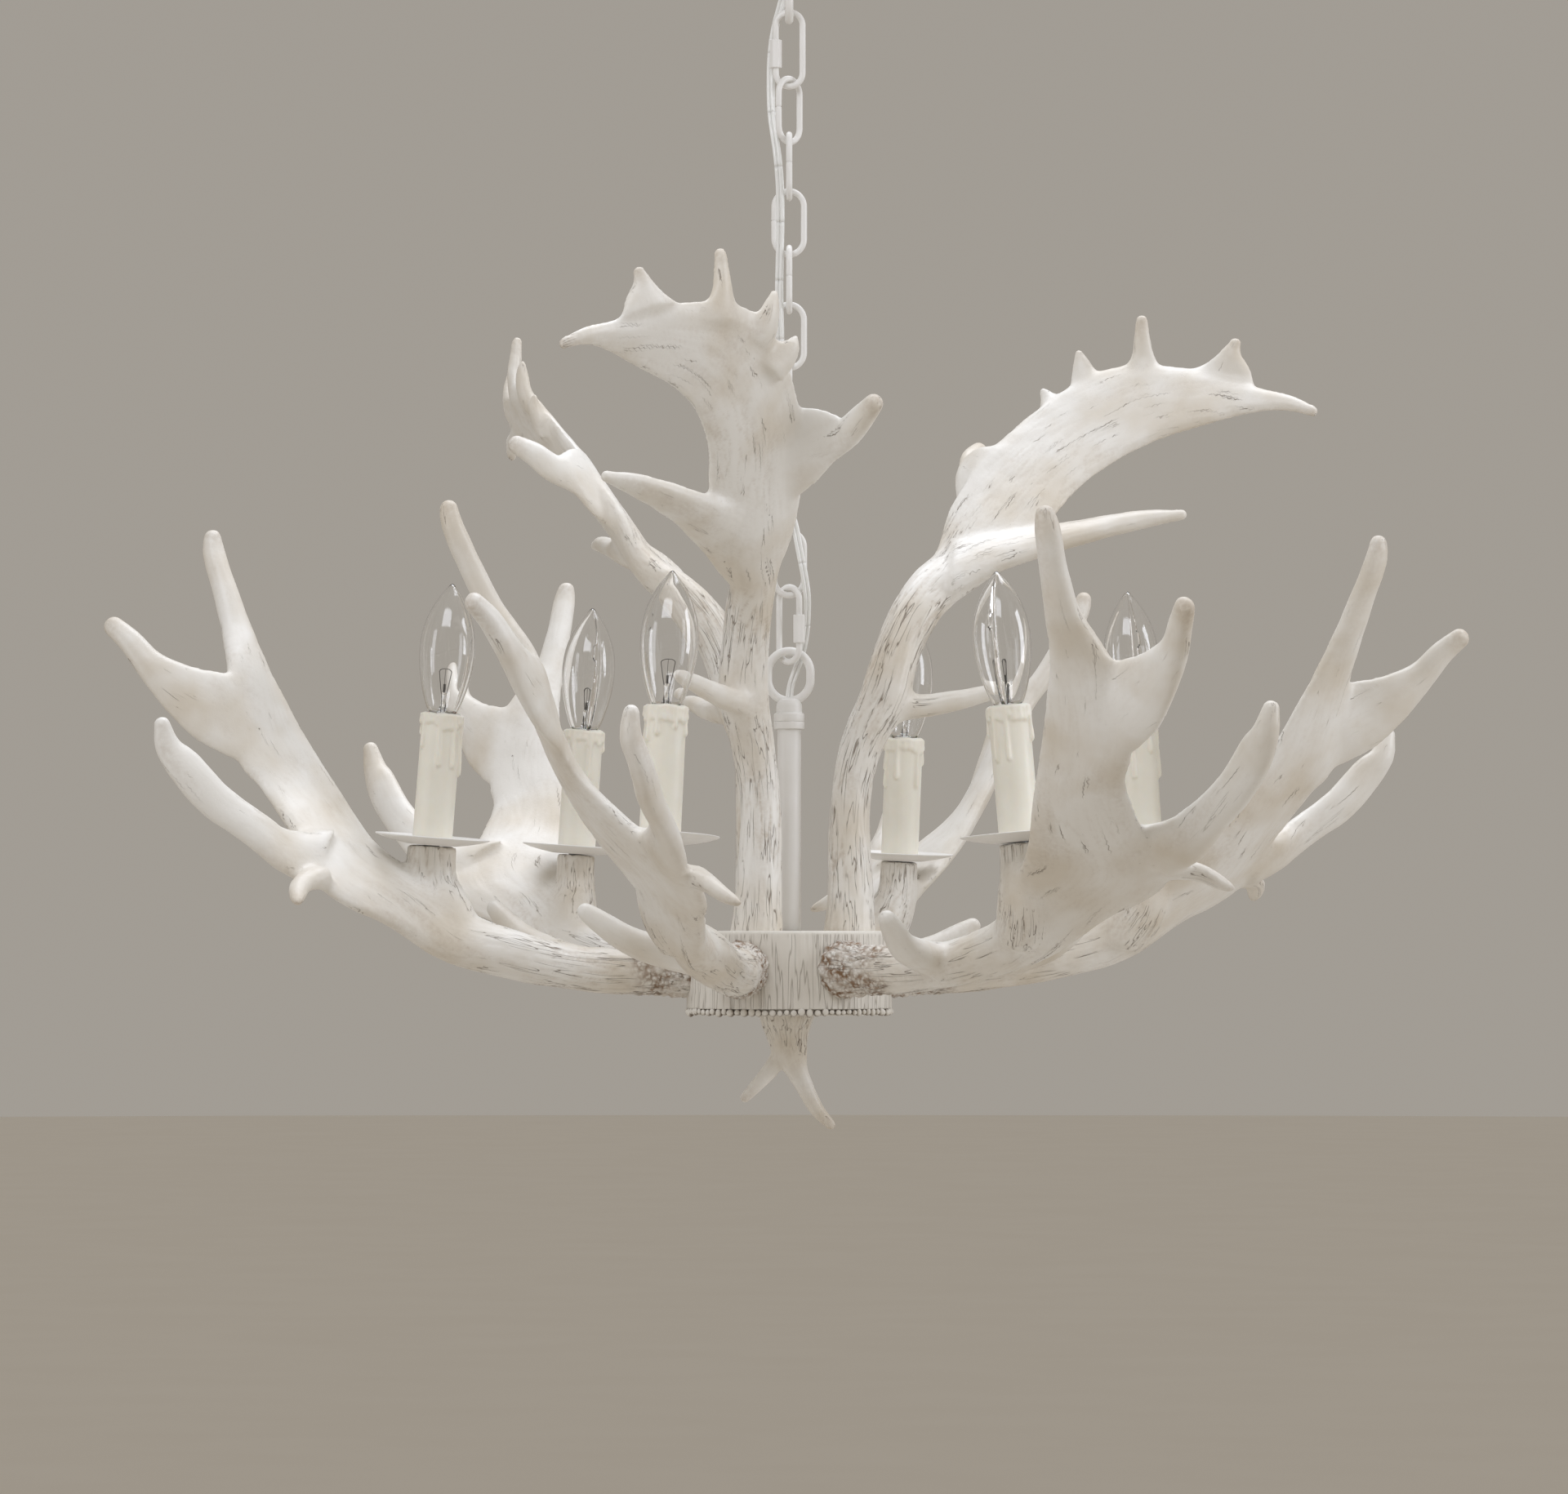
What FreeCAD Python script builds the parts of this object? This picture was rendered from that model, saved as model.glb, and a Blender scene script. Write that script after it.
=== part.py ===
import FreeCAD, Part
import Sketcher
import math
import os
import re
from FreeCAD import Placement, Rotation, Vector

# Antler chandelier on a chain: nine cast antlers round a drum, six candle lights, one cord.
# Frame: millimetres, +Z up, +X to the viewer's right, origin on the ceiling above the stem.

doc = FreeCAD.newDocument("antler_chandelier")
sheet = doc.addObject("Spreadsheet::Sheet", "sizes")

SIZES = [
    ("joint_gap", 0.3, "clearance between pieces that move"),
    ("fit_gap", 0.05, "radial clearance of a fitted bore"),
    ("canopy_radius", 64, "ceiling canopy, outer radius"),
    ("canopy_depth", 26, "ceiling canopy, depth"),
    ("sheet_wall", 1.2, "wall of the spun sheet pieces"),
    ("strap_length", 112, "ceiling strap, length"),
    ("strap_width", 22, "ceiling strap, width"),
    ("strap_thickness", 2.5, "ceiling strap, thickness"),
    ("slot_end_gap", 11.55, "ceiling strap, from its end to the middle of a slot"),
    ("slot_spacing", "=strap_length - 2 * slot_end_gap", "ceiling strap, slot to slot"),
    ("slot_length", 14, "ceiling strap slot, end to end"),
    ("slot_radius", 2.5, "ceiling strap slot, half its width"),
    ("pipe_radius", 4.9, "threaded lamp pipe, outer radius"),
    ("pipe_bore", 3.5, "threaded lamp pipe, bore radius"),
    ("pipe_nut_radius", 8, "pipe nut, radius over its corners"),
    ("pipe_nut_height", 4, "pipe nut, height"),
    ("nipple_length", 34, "ceiling nipple, length below the strap's top"),
    ("boss_radius", 16.7, "canopy loop, radius of its threaded boss"),
    ("boss_height", 17, "canopy loop, height of its threaded boss"),
    ("ring_radius_outer", 21, "canopy collar, outer radius"),
    ("ring_height", 9, "canopy collar, height"),
    ("loop_wire", 5.4, "loop bar diameter"),
    ("loop_width", 32.4, "loop, outer width"),
    ("loop_height", 37, "loop, outer height"),
    ("loop_neck", 16, "loop centre to the neck's end"),
    ("loop_play", 0.75, "extra height between bottom quick link and fixture loop"),
    ("chain_wire", 4, "chain wire diameter"),
    ("link_length", 44.5, "chain link, outer length"),
    ("link_width", 23, "chain link, outer width"),
    ("quick_length", 51.5, "quick link, outer length"),
    ("quick_width", 21, "quick link, outer width"),
    ("quick_gap", 7.5, "quick link, opening that the nut closes"),
    ("sleeve_nut_length", 18, "quick link nut, length"),
    ("sleeve_nut_radius", 4, "quick link nut, radius over its corners"),
    ("sleeve_nut_drop", 3, "quick link nut, how far it sits below the middle"),
    ("cord_radius", 2.5, "supply cord radius"),
    ("neck_radius", 8.2, "fixture loop neck radius"),
    ("neck_height", 14.5, "fixture loop, height of neck and flange"),
    ("flange_radius", 9.7, "stem flange radius"),
    ("flange_height", 4.8, "stem flange height"),
    ("stem_radius", 7.5, "stem tube, outer radius"),
    ("stem_bore", 6.3, "stem tube, bore radius"),
    ("stem_length", 128, "stem tube, length"),
    ("hub_radius", 65, "drum radius"),
    ("hub_height", 49, "drum height"),
    ("hub_wall", 8, "drum wall"),
    ("base_thickness", 4.5, "drum base plate, thickness"),
    ("bead_radius", 2.2, "bead rim, section radius"),
    ("rod_below_base", 14, "how far the lamp pipe enters the finial"),
    ("rod_window", 4, "width of the wire window in the lamp pipe"),
    ("cap_radius", 7, "wire connector, radius at its open end"),
    ("cap_tip_radius", 4.5, "wire connector, radius at its tip"),
    ("cap_height", 22, "wire connector, height"),
    ("cap_circle", 26, "wire connectors, distance from the axis"),
    ("bolt_radius", 3, "antler bolt radius"),
    ("bolt_length", 30, "antler bolt, length under its head"),
    ("bolt_head_radius", 5.2, "antler bolt head, radius over its corners"),
    ("bolt_head_height", 3.6, "antler bolt head, height"),
    ("side_bolt_drop", 18, "lower antler bolts, depth below the drum's top"),
    ("wire_hole_drop", 34, "branch wire holes, depth below the drum's top"),
    ("top_bolt_circle", 37.5, "upper antler bolts, distance from the axis"),
    ("wire_hole_radius", 4, "branch wire holes in the drum, radius"),
    ("channel_radius", 2.4, "wire channel in a lower antler, radius"),
    ("branch_wire_radius", 1.6, "branch wire radius"),
    ("pan_radius", 36, "drip pan, rim radius"),
    ("pan_height", 5.5, "drip pan, height"),
    ("pan_floor_radius", 14, "drip pan, floor radius"),
    ("pan_nipple_below", 14, "pan nipple, length in the antler stub"),
    ("pan_nipple_above", 9, "pan nipple, length above the pan's underside"),
    ("candle_radius", 12.5, "candle sleeve, outer radius"),
    ("candle_bore", 10.4, "candle sleeve, bore radius"),
    ("candle_height", 82, "candle sleeve, height"),
    ("socket_radius", 8.6, "lamp socket, outer radius"),
    ("socket_height", 30, "lamp socket, height"),
    ("socket_below_rim", 3, "lamp socket top, depth below the candle's rim"),
    ("post_radius", 5.5, "socket post radius"),
    ("bulb_base_radius", 5.9, "bulb base radius"),
    ("bulb_base_length", 15, "bulb base, length"),
    ("bulb_radius", 17.6, "bulb glass, greatest radius"),
    ("bulb_height", 81, "bulb glass, height above the candle's rim"),
    ("glass_wall", 0.8, "bulb glass, wall"),
]
for row, (alias, value, note) in enumerate(SIZES, 1):
    sheet.set("A%d" % row, note)
    sheet.set("B%d" % row, str(value))
    sheet.setAlias("B%d" % row, alias)
doc.recompute()


def size(alias):
    """The value of one driving dimension."""
    return float(getattr(sheet, alias))


def cell(expression):
    """An expression over the sheet's aliases, with each alias addressed on the sheet."""
    return re.sub("[a-z_]+", lambda word: "sizes." + word.group(), expression)


def evaluate(expression):
    """The number that an expression over the sheet's aliases gives."""
    return float(sheet.evalExpression(cell(expression)))


pieces = []


def piece(feature, label, place=Placement()):
    """Name a finished sub-part, put it in its place and list it for export."""
    feature.Label = label
    feature.Placement = place
    pieces.append(feature)
    return feature


def at(height, x=0.0, y=0.0):
    return Placement(Vector(x, y, height), Rotation())


# ---------------------------------------------------------------- makers

def turned(name, corners):
    """A body of revolution about Z. Corners are (radius, height) expressions in order."""
    body = doc.addObject("PartDesign::Body", name)
    plane = [f for f in body.Origin.OriginFeatures if f.Role == "XZ_Plane"][0]
    sketch = body.newObject("Sketcher::SketchObject", name + "_profile")
    sketch.AttachmentSupport = [(plane, "")]
    sketch.MapMode = "FlatFace"
    spots = [Vector(evaluate(r), evaluate(z), 0) for r, z in corners]
    count = len(spots)
    for i in range(count):
        sketch.addGeometry(Part.LineSegment(spots[i], spots[(i + 1) % count]), False)
    for i in range(count):
        sketch.addConstraint(Sketcher.Constraint("Coincident", i, 2, (i + 1) % count, 1))
    for i, (r, z) in enumerate(corners):
        across = sketch.addConstraint(Sketcher.Constraint("DistanceX", i, 1, spots[i].x))
        up = sketch.addConstraint(Sketcher.Constraint("DistanceY", i, 1, spots[i].y))
        sketch.setExpression("Constraints[%d]" % across, cell(r))
        sketch.setExpression("Constraints[%d]" % up, cell(z))
    spin = body.newObject("PartDesign::Revolution", name + "_turn")
    spin.Profile = sketch
    spin.ReferenceAxis = (sketch, ["V_Axis"])
    spin.Angle = 360
    return body


def tube(name, outer, inner, bottom, top):
    return turned(name, [(inner, bottom), (outer, bottom), (outer, top), (inner, top)])


def primitive(kind, name, place=Placement(), **sizes):
    """A Part primitive whose sizes are bound to the sheet."""
    solid = doc.addObject("Part::" + kind, name)
    for prop, expression in sizes.items():
        solid.setExpression(prop, cell(expression))
    solid.Placement = place
    return solid


def fused(name, parts):
    joined = doc.addObject("Part::MultiFuse", name)
    joined.Shapes = parts
    return joined


def cut(name, base, tool):
    less = doc.addObject("Part::Cut", name)
    less.Base = base
    less.Tool = tool
    return less


def feature_of(name, shape):
    """A sub-part whose shape no primitive or sketch gives."""
    solid = doc.addObject("Part::Feature", name)
    solid.Shape = shape
    return solid


def oval(name, length, width, wire):
    """A closed oval of round bar in the XZ plane, centred on the origin."""
    straight = (size(length) - size(width)) / 2
    reach = (size(width) - size(wire)) / 2
    bend = "( %s - %s ) / 2" % (width, wire)
    ends = []
    for sign, turn in ((1, 90), (-1, -90)):
        end = primitive("Torus", name + ("_top" if sign > 0 else "_bottom"),
                        Placement(Vector(0, 0, sign * straight), Rotation(Vector(1, 0, 0), turn)),
                        Radius1=bend, Radius2=wire + " / 2")
        end.Angle3 = 180
        ends.append(end)
    for sign in (1, -1):
        ends.append(primitive("Cylinder", name + ("_right" if sign > 0 else "_left"),
                              at(-straight, x=sign * reach), Radius=wire + " / 2",
                              Height="%s - %s" % (length, width)))
    return fused(name, ends)


def hex_nut(name, corner, height, bore):
    prism = primitive("Prism", name + "_blank", Circumradius=corner, Height=height)
    prism.Polygon = 6
    hole = primitive("Cylinder", name + "_bore", Radius=bore, Height=height)
    return cut(name, prism, hole)


RING_POINTS = 8


def skin(sections):
    """A smooth solid over a row of oval sections, each a centre, half width and half thickness."""
    count = len(sections)
    swell = 6 / (4 + 2 * math.cos(2 * math.pi / RING_POINTS))
    poles = []
    for i in range(RING_POINTS):
        turn = 2 * math.pi * i / RING_POINTS
        poles.append([c + (w * math.cos(turn) + t * math.sin(turn)) * swell
                      for c, w, t in sections])
    surface = Part.BSplineSurface()
    surface.buildFromPolesMultsKnots(
        poles, [1] * (RING_POINTS + 1), [4] + [1] * (count - 4) + [4],
        list(range(RING_POINTS + 1)), list(range(count - 2)), True, False, 3, 3)
    side = surface.toShape()
    faces = [side]
    for edge in side.Edges:
        if edge.isClosed():
            faces.append(Part.Face(Part.Wire(edge)))
    shell = Part.Shell(faces)
    shell.sewShape()
    solid = Part.Solid(shell)
    if solid.Volume < 0:
        solid.reverse()
    return solid


def between(before, start, end, after, share):
    """A point on the smooth curve from start to end, given the points on either side."""
    slope = (end - before) * 0.5
    curve = before - start * 2.5 + end * 2 - after * 0.5
    last = (start - end) * 1.5 + (after - before) * 0.5
    return start + slope * share + curve * share ** 2 + last * share ** 3


def oriented(stations):
    """Each station as its centre and its half width and half thickness vectors."""
    centres = []
    for a, b, _ in stations:
        flat = isinstance(b, tuple)
        centres.append((Vector(*a) + Vector(*b)) * 0.5 if flat else Vector(*a))
    last = len(stations) - 1
    flats = [i for i, station in enumerate(stations) if isinstance(station[1], tuple)]
    found = []
    for i, (a, b, thick) in enumerate(stations):
        ahead = (centres[min(i + 1, last)] - centres[max(i - 1, 0)]).normalize()
        if isinstance(b, tuple):
            wide = Vector(*b) - Vector(*a)
            half_width = wide.Length / 2
        else:
            half_width = b
            if flats:
                near = stations[min(flats, key=lambda k: abs(k - i))]
                wide = Vector(*near[1]) - Vector(*near[0])
            else:
                wide = Vector(1, 0, 0) if abs(ahead.x) < 0.8 else Vector(0, 1, 0)
            wide = wide - ahead * wide.dot(ahead)
        wide.normalize()
        ahead = (ahead - wide * ahead.dot(wide)).normalize()
        found.append((centres[i], wide * half_width, ahead.cross(wide) * thick, ahead))
    return found


def limb(stations, rounded=True, step=9.0):
    """A tine or beam. A station is (edge, edge, half thickness), or (centre, half width, half
    thickness) where the section is nearly round. The free end is rounded off."""
    knots = oriented(stations)
    last = len(knots) - 1
    sections = []
    for i in range(last):
        near = [knots[max(i - 1, 0)], knots[i], knots[i + 1], knots[min(i + 2, last)]]
        count = max(1, round((near[2][0] - near[1][0]).Length / step))
        for k in range(count):
            sections.append([between(*[knot[part] for knot in near], k / count)
                             for part in range(3)])
    centre, across, through, ahead = knots[-1]
    sections.append([centre, across, through])
    if rounded:
        for reach, share in ((0.5, 0.87), (0.85, 0.5)):
            sections.append([centre + ahead * (through.Length * reach), across * share,
                             through * share])
    return skin(sections)


def antler_cast(limbs, plain=()):
    """One casting: every limb of the antler fused into one solid."""
    solids = [limb(stations, name not in plain) for name, stations in limbs.items()]
    shape = solids[0].fuse(solids[1:])
    return shape.Solids[0] if len(shape.Solids) == 1 else shape


def smooth_path(points):
    """Straight runs joined by tangent arcs, and the radius of every arc."""
    spots = [Vector(*p) for p in points]
    edges = []
    radii = []
    start = spots[0]
    for before, corner, after in zip(spots, spots[1:], spots[2:]):
        back = (before - corner)
        on = (after - corner)
        setback = 0.45 * min(back.Length, on.Length)
        back.normalize()
        on.normalize()
        half_turn = (math.pi - back.getAngle(on)) / 2
        radii.append(setback / math.tan(half_turn))
        first = corner + back * setback
        second = corner + on * setback
        bisector = (back + on).normalize()
        middle = corner + bisector * (radii[-1] / math.cos(half_turn) - radii[-1])
        edges.append(Part.LineSegment(start, first).toShape())
        edges.append(Part.Arc(first, middle, second).toShape())
        start = second
    edges.append(Part.LineSegment(start, spots[-1]).toShape())
    return Part.Wire(edges), radii


def piped(points, radius):
    """A round tube's solid along a smooth path, with its arcs' radii and its length."""
    path, radii = smooth_path(points)
    spots = [Vector(*p) for p in points]
    circle = Part.Circle(spots[0], (spots[1] - spots[0]).normalize(), radius)
    pipe = path.makePipeShell([Part.Wire(circle.toShape())], True, False)
    return pipe, radii, path.Length


# ---------------------------------------------------------------- places, from the ceiling down

def seat(turn, bend_a, bend_b, bars):
    """Height between two hooked bars whose planes stand a turn apart, in degrees."""
    least = bars + size("joint_gap")
    spread = (2 * math.sin(math.radians(turn) / 2)) ** 2
    reach = spread / (1 / bend_a + 1 / bend_b)
    return least if reach >= least else (least ** 2 + reach ** 2) / (2 * reach)


loop_bend = (size("loop_width") - size("loop_wire")) / 2
link_bend = (size("link_width") - size("chain_wire")) / 2
quick_bend = (size("quick_width") - size("chain_wire")) / 2
loop_half = (size("loop_height") - size("loop_wire")) / 2
link_half = (size("link_length") - size("chain_wire")) / 2
quick_half = (size("quick_length") - size("chain_wire")) / 2
loop_bars = (size("loop_wire") + size("chain_wire")) / 2

# Each hanging piece: name, turn of its plane about Z, bend radius, half height, bar sum above.
HANGING = [("top_quick_link", 0, quick_bend, quick_half)]
LINK_TURNS = [45, 90, 0, 90, 0, 90, 0, 90, 0]
for number, turn in enumerate(LINK_TURNS, 1):
    HANGING.append(("chain_link_%d" % number, turn, link_bend, link_half))
HANGING.append(("bottom_quick_link", -42, quick_bend, quick_half))

CANOPY_LOOP_TURN = 90
canopy_bottom = -size("canopy_depth")
boss_bottom = canopy_bottom - size("ring_height") - 2
canopy_loop_z = boss_bottom - size("loop_neck")


def crossing(turn_a, turn_b):
    """The acute angle between two vertical planes."""
    turn = abs(turn_a - turn_b) % 180
    return min(turn, 180 - turn)


hinge_z = canopy_loop_z - loop_half
upper_turn = CANOPY_LOOP_TURN
upper_bend = loop_bend
bars = loop_bars
hanging_z = {}
hinges = []
for name, turn, bend, half in HANGING:
    hinges.append((name, hinge_z, upper_turn))
    top = hinge_z + seat(crossing(turn, upper_turn), upper_bend, bend, bars)
    hanging_z[name] = top - half
    hinge_z = top - 2 * half
    upper_turn = turn
    upper_bend = bend
    bars = size("chain_wire")
hinges.append(("fixture", hinge_z, upper_turn))
loop_seat = seat(crossing(0, upper_turn), upper_bend, loop_bend, loop_bars) + size("loop_play")
fixture_loop_z = hinge_z + loop_seat - loop_half
joint_z = fixture_loop_z - size("loop_neck") + 1.5 - size("neck_height")
hub_top = joint_z - size("flange_height") - size("stem_length")
for name, height, turn in hinges:
    print("hinge of %s: z %.3f, axis turned %d degrees" % (name, height, turn))
print("drum top z %.3f" % hub_top)

# ---------------------------------------------------------------- ceiling hardware


def mounting_strap():
    plate = primitive("Box", "strap_plate", Length="strap_length", Width="strap_width",
                      Height="strap_thickness")
    plate.Placement = at(0, -size("strap_length") / 2, -size("strap_width") / 2)
    tools = [primitive("Cylinder", "strap_centre", Radius="pipe_radius + fit_gap",
                       Height="strap_thickness")]
    straight = size("slot_length") / 2 - size("slot_radius")
    for side in (-1, 1):
        middle = side * size("slot_spacing") / 2
        tag = "left" if side < 0 else "right"
        tools.append(primitive("Box", "slot_run_" + tag,
                               at(0, middle - straight, -size("slot_radius")),
                               Length="slot_length - 2 * slot_radius", Width="2 * slot_radius",
                               Height="strap_thickness"))
        for end in (-1, 1):
            tools.append(primitive("Cylinder", "slot_end_%s_%d" % (tag, end + 1),
                                   at(0, middle + end * straight), Radius="slot_radius",
                                   Height="strap_thickness"))
    strap = cut("strap", plate, fused("strap_holes", tools))
    piece(strap, "mounting_strap", at(-size("strap_thickness")))


def canopy():
    """Spun dish, its rim on the ceiling and its floor pierced for the loop's boss."""
    hole = "boss_radius + joint_gap"
    body = turned("canopy_dish", [
        ("canopy_radius", "0"), ("canopy_radius - sheet_wall", "0"),
        ("canopy_radius - sheet_wall", "-3"),
        ("canopy_radius * 0.8 - sheet_wall", "-canopy_depth * 0.55 + sheet_wall"),
        ("canopy_radius * 0.42", "-canopy_depth + sheet_wall"),
        (hole, "-canopy_depth + sheet_wall"), (hole, "-canopy_depth"),
        ("canopy_radius * 0.42 + sheet_wall / 2", "-canopy_depth"),
        ("canopy_radius * 0.8", "-canopy_depth * 0.55"), ("canopy_radius", "-3")])
    piece(body, "canopy")


def ceiling_hardware():
    mounting_strap()
    canopy()
    nipple = tube("nipple", "pipe_radius", "pipe_bore", "-nipple_length", "-0.2")
    piece(nipple, "canopy_nipple")
    nut = hex_nut("nipple_nut", "pipe_nut_radius", "pipe_nut_height", "pipe_radius + fit_gap")
    piece(nut, "nipple_locknut", at(-size("strap_thickness") - size("pipe_nut_height")))


def canopy_loop():
    """Threaded boss with an oval ring below it and a wire way through both."""
    boss = turned("boss", [
        ("pipe_radius + fit_gap", "boss_height"), ("boss_radius", "boss_height"),
        ("boss_radius", "0"), ("pipe_radius * 1.6", "-1.5"), ("pipe_bore + 0.1", "-1.5"),
        ("pipe_bore + 0.1", "1.5"), ("pipe_radius + fit_gap", "1.5")])
    ring = oval("canopy_ring", "loop_height", "loop_width", "loop_wire")
    ring.Placement = at(-size("loop_neck"))
    bore = primitive("Cylinder", "canopy_ring_way", at(-4), Radius="pipe_bore + 0.1",
                     Height="4 + boss_height")
    seat_bore = primitive("Cylinder", "canopy_ring_seat", at(1.5), Radius="pipe_radius + fit_gap",
                          Height="boss_height")
    loop = cut("canopy_eye", fused("canopy_eye_blank", [boss, ring]),
               fused("canopy_eye_bores", [bore, seat_bore]))
    piece(loop, "canopy_loop",
          Placement(Vector(0, 0, boss_bottom), Rotation(Vector(0, 0, 1), CANOPY_LOOP_TURN)))
    collar = turned("collar", [
        ("boss_radius + fit_gap", "0"), ("ring_radius_outer - 1.5", "0"),
        ("ring_radius_outer", "1.5"), ("ring_radius_outer", "ring_height - 1"),
        ("ring_radius_outer - 1", "ring_height"), ("boss_radius + fit_gap", "ring_height")])
    piece(collar, "canopy_collar", at(canopy_bottom - size("ring_height")))


# ---------------------------------------------------------------- chain

def quick_link(label, nut_label, turn, height, side):
    """Oval link with an opening in one leg, which a sleeve nut closes."""
    blank = oval(label + "_blank", "quick_length", "quick_width", "chain_wire")
    reach = side * quick_bend
    nut_z = -size("sleeve_nut_drop") - size("sleeve_nut_length") / 2
    opening = primitive("Cylinder", label + "_opening", at(nut_z + 1.5, reach),
                        Radius="chain_wire", Height="quick_gap")
    link = cut(label + "_body", blank, opening)
    place = Placement(Vector(0, 0, height), Rotation(Vector(0, 0, 1), turn))
    piece(link, label, place)
    nut = hex_nut(label + "_nut", "sleeve_nut_radius", "sleeve_nut_length",
                  "chain_wire / 2 + fit_gap")
    piece(nut, nut_label, place.multiply(at(nut_z, reach)))


def chain():
    for name, turn, _, _ in HANGING:
        if name.startswith("chain"):
            link = oval(name + "_ring", "link_length", "link_width", "chain_wire")
            piece(link, name, Placement(Vector(0, 0, hanging_z[name]),
                                        Rotation(Vector(0, 0, 1), turn)))
    quick_link("top_quick_link", "top_link_nut", HANGING[0][1], hanging_z["top_quick_link"], -1)
    quick_link("bottom_quick_link", "bottom_link_nut", HANGING[-1][1],
               hanging_z["bottom_quick_link"], 1)


# ---------------------------------------------------------------- stem and drum

def stem():
    loop_rise = size("loop_neck") - 1.5 + size("neck_height")
    neck = turned("neck", [
        ("pipe_bore + 0.1", "neck_height"), ("neck_radius * 0.7", "neck_height"),
        ("neck_radius", "neck_height * 0.7"), ("neck_radius", "flange_height + 0.6"),
        ("flange_radius", "flange_height"), ("flange_radius", "0"),
        ("pipe_radius + fit_gap", "0"), ("pipe_radius + fit_gap", "neck_height * 0.5"),
        ("pipe_bore + 0.1", "neck_height * 0.5")])
    ring = oval("fixture_ring", "loop_height", "loop_width", "loop_wire")
    ring.Placement = at(loop_rise)
    way = primitive("Cylinder", "fixture_ring_way", at(size("neck_height") * 0.5),
                    Radius="pipe_bore + 0.1", Height="neck_height")
    seat_way = primitive("Cylinder", "fixture_ring_seat", Radius="pipe_radius + fit_gap",
                         Height="neck_height * 0.5")
    loop = cut("fixture_eye", fused("fixture_eye_blank", [neck, ring]),
               fused("fixture_eye_bores", [way, seat_way]))
    piece(loop, "fixture_loop", at(joint_z))
    collar = tube("stem_flange", "flange_radius", "pipe_radius + fit_gap", "-flange_height", "0")
    piece(collar, "stem_collar", at(joint_z))
    piece(tube("stem", "stem_radius", "stem_bore", "0", "stem_length"), "stem_tube", at(hub_top))
    rod_bottom = "-hub_height - base_thickness - rod_below_base"
    rod_top = "stem_length + flange_height + neck_height * 0.5"
    rod = tube("rod", "pipe_radius", "pipe_bore", rod_bottom, rod_top)
    window = primitive("Box", "rod_window_blank",
                       at(-size("hub_height") * 0.7, 0, -size("rod_window") / 2),
                       Length="pipe_radius * 2", Width="rod_window",
                       Height="hub_height * 0.35")
    piece(cut("rod_cut", rod, window), "centre_rod", at(hub_top))
    nuts = []
    for tag, low in (("upper", -size("hub_wall") - size("pipe_nut_height")),
                     ("lower", -size("hub_height"))):
        nut = hex_nut("rod_nut_" + tag, "pipe_nut_radius", "pipe_nut_height",
                      "pipe_radius + fit_gap")
        nut.Placement = at(low)
        nuts.append(nut)
    group = doc.addObject("Part::Compound", "rod_nut_pair")
    group.Links = nuts
    piece(group, "rod_nuts", at(hub_top))


def around(count, first=0):
    return [first + i * 360.0 / count for i in range(count)]


def radial(angle, distance, height):
    """A placement whose Z axis points outward from the stem at an angle."""
    turn = Rotation(Vector(0, 0, 1), angle)
    out = turn.multVec(Vector(distance, 0, height))
    return Placement(out, turn.multiply(Rotation(Vector(0, 1, 0), 90)))


def hub():
    shell = turned("drum", [
        ("pipe_radius + fit_gap", "0"), ("hub_radius - 1.5", "0"), ("hub_radius", "-1.5"),
        ("hub_radius", "-hub_height"), ("hub_radius - hub_wall", "-hub_height"),
        ("hub_radius - hub_wall", "-hub_wall"), ("pipe_radius + fit_gap", "-hub_wall")])
    tools = []
    start = size("hub_radius") - size("hub_wall") - 2
    for i, angle in enumerate(around(6)):
        tools.append(primitive("Cylinder", "bolt_way_%d" % i,
                               radial(angle, start, -size("side_bolt_drop")),
                               Radius="bolt_radius + fit_gap", Height="hub_wall + 6"))
        tools.append(primitive("Cylinder", "wire_way_%d" % i,
                               radial(angle, start, -size("wire_hole_drop")),
                               Radius="wire_hole_radius", Height="hub_wall + 6"))
    for i, angle in enumerate(around(3)):
        out = Rotation(Vector(0, 0, 1), angle).multVec(Vector(size("top_bolt_circle"), 0, 0))
        tools.append(primitive("Cylinder", "top_way_%d" % i, at(-size("hub_wall") - 2, out.x, out.y),
                               Radius="bolt_radius + fit_gap", Height="hub_wall + 4"))
    piece(cut("drum_cut", shell, fused("drum_holes", tools)), "hub_shell", at(hub_top))
    plate = tube("base_disc", "hub_radius", "pipe_radius + fit_gap", "-base_thickness", "0")
    rim = primitive("Torus", "bead_rim", at(-size("base_thickness") / 2),
                    Radius1="hub_radius", Radius2="bead_radius")
    piece(fused("base", [plate, rim]), "hub_bottom_plate", at(hub_top - size("hub_height")))


def bolt(name):
    """Bolt along Z: its thread starts at 0 and its head lies below."""
    head = primitive("Prism", name + "_head", Circumradius="bolt_head_radius",
                     Height="bolt_head_height")
    head.Polygon = 6
    head.Placement = at(-size("bolt_head_height"))
    thread = primitive("Cylinder", name + "_thread", Radius="bolt_radius", Height="bolt_length")
    return fused(name, [head, thread])


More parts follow.
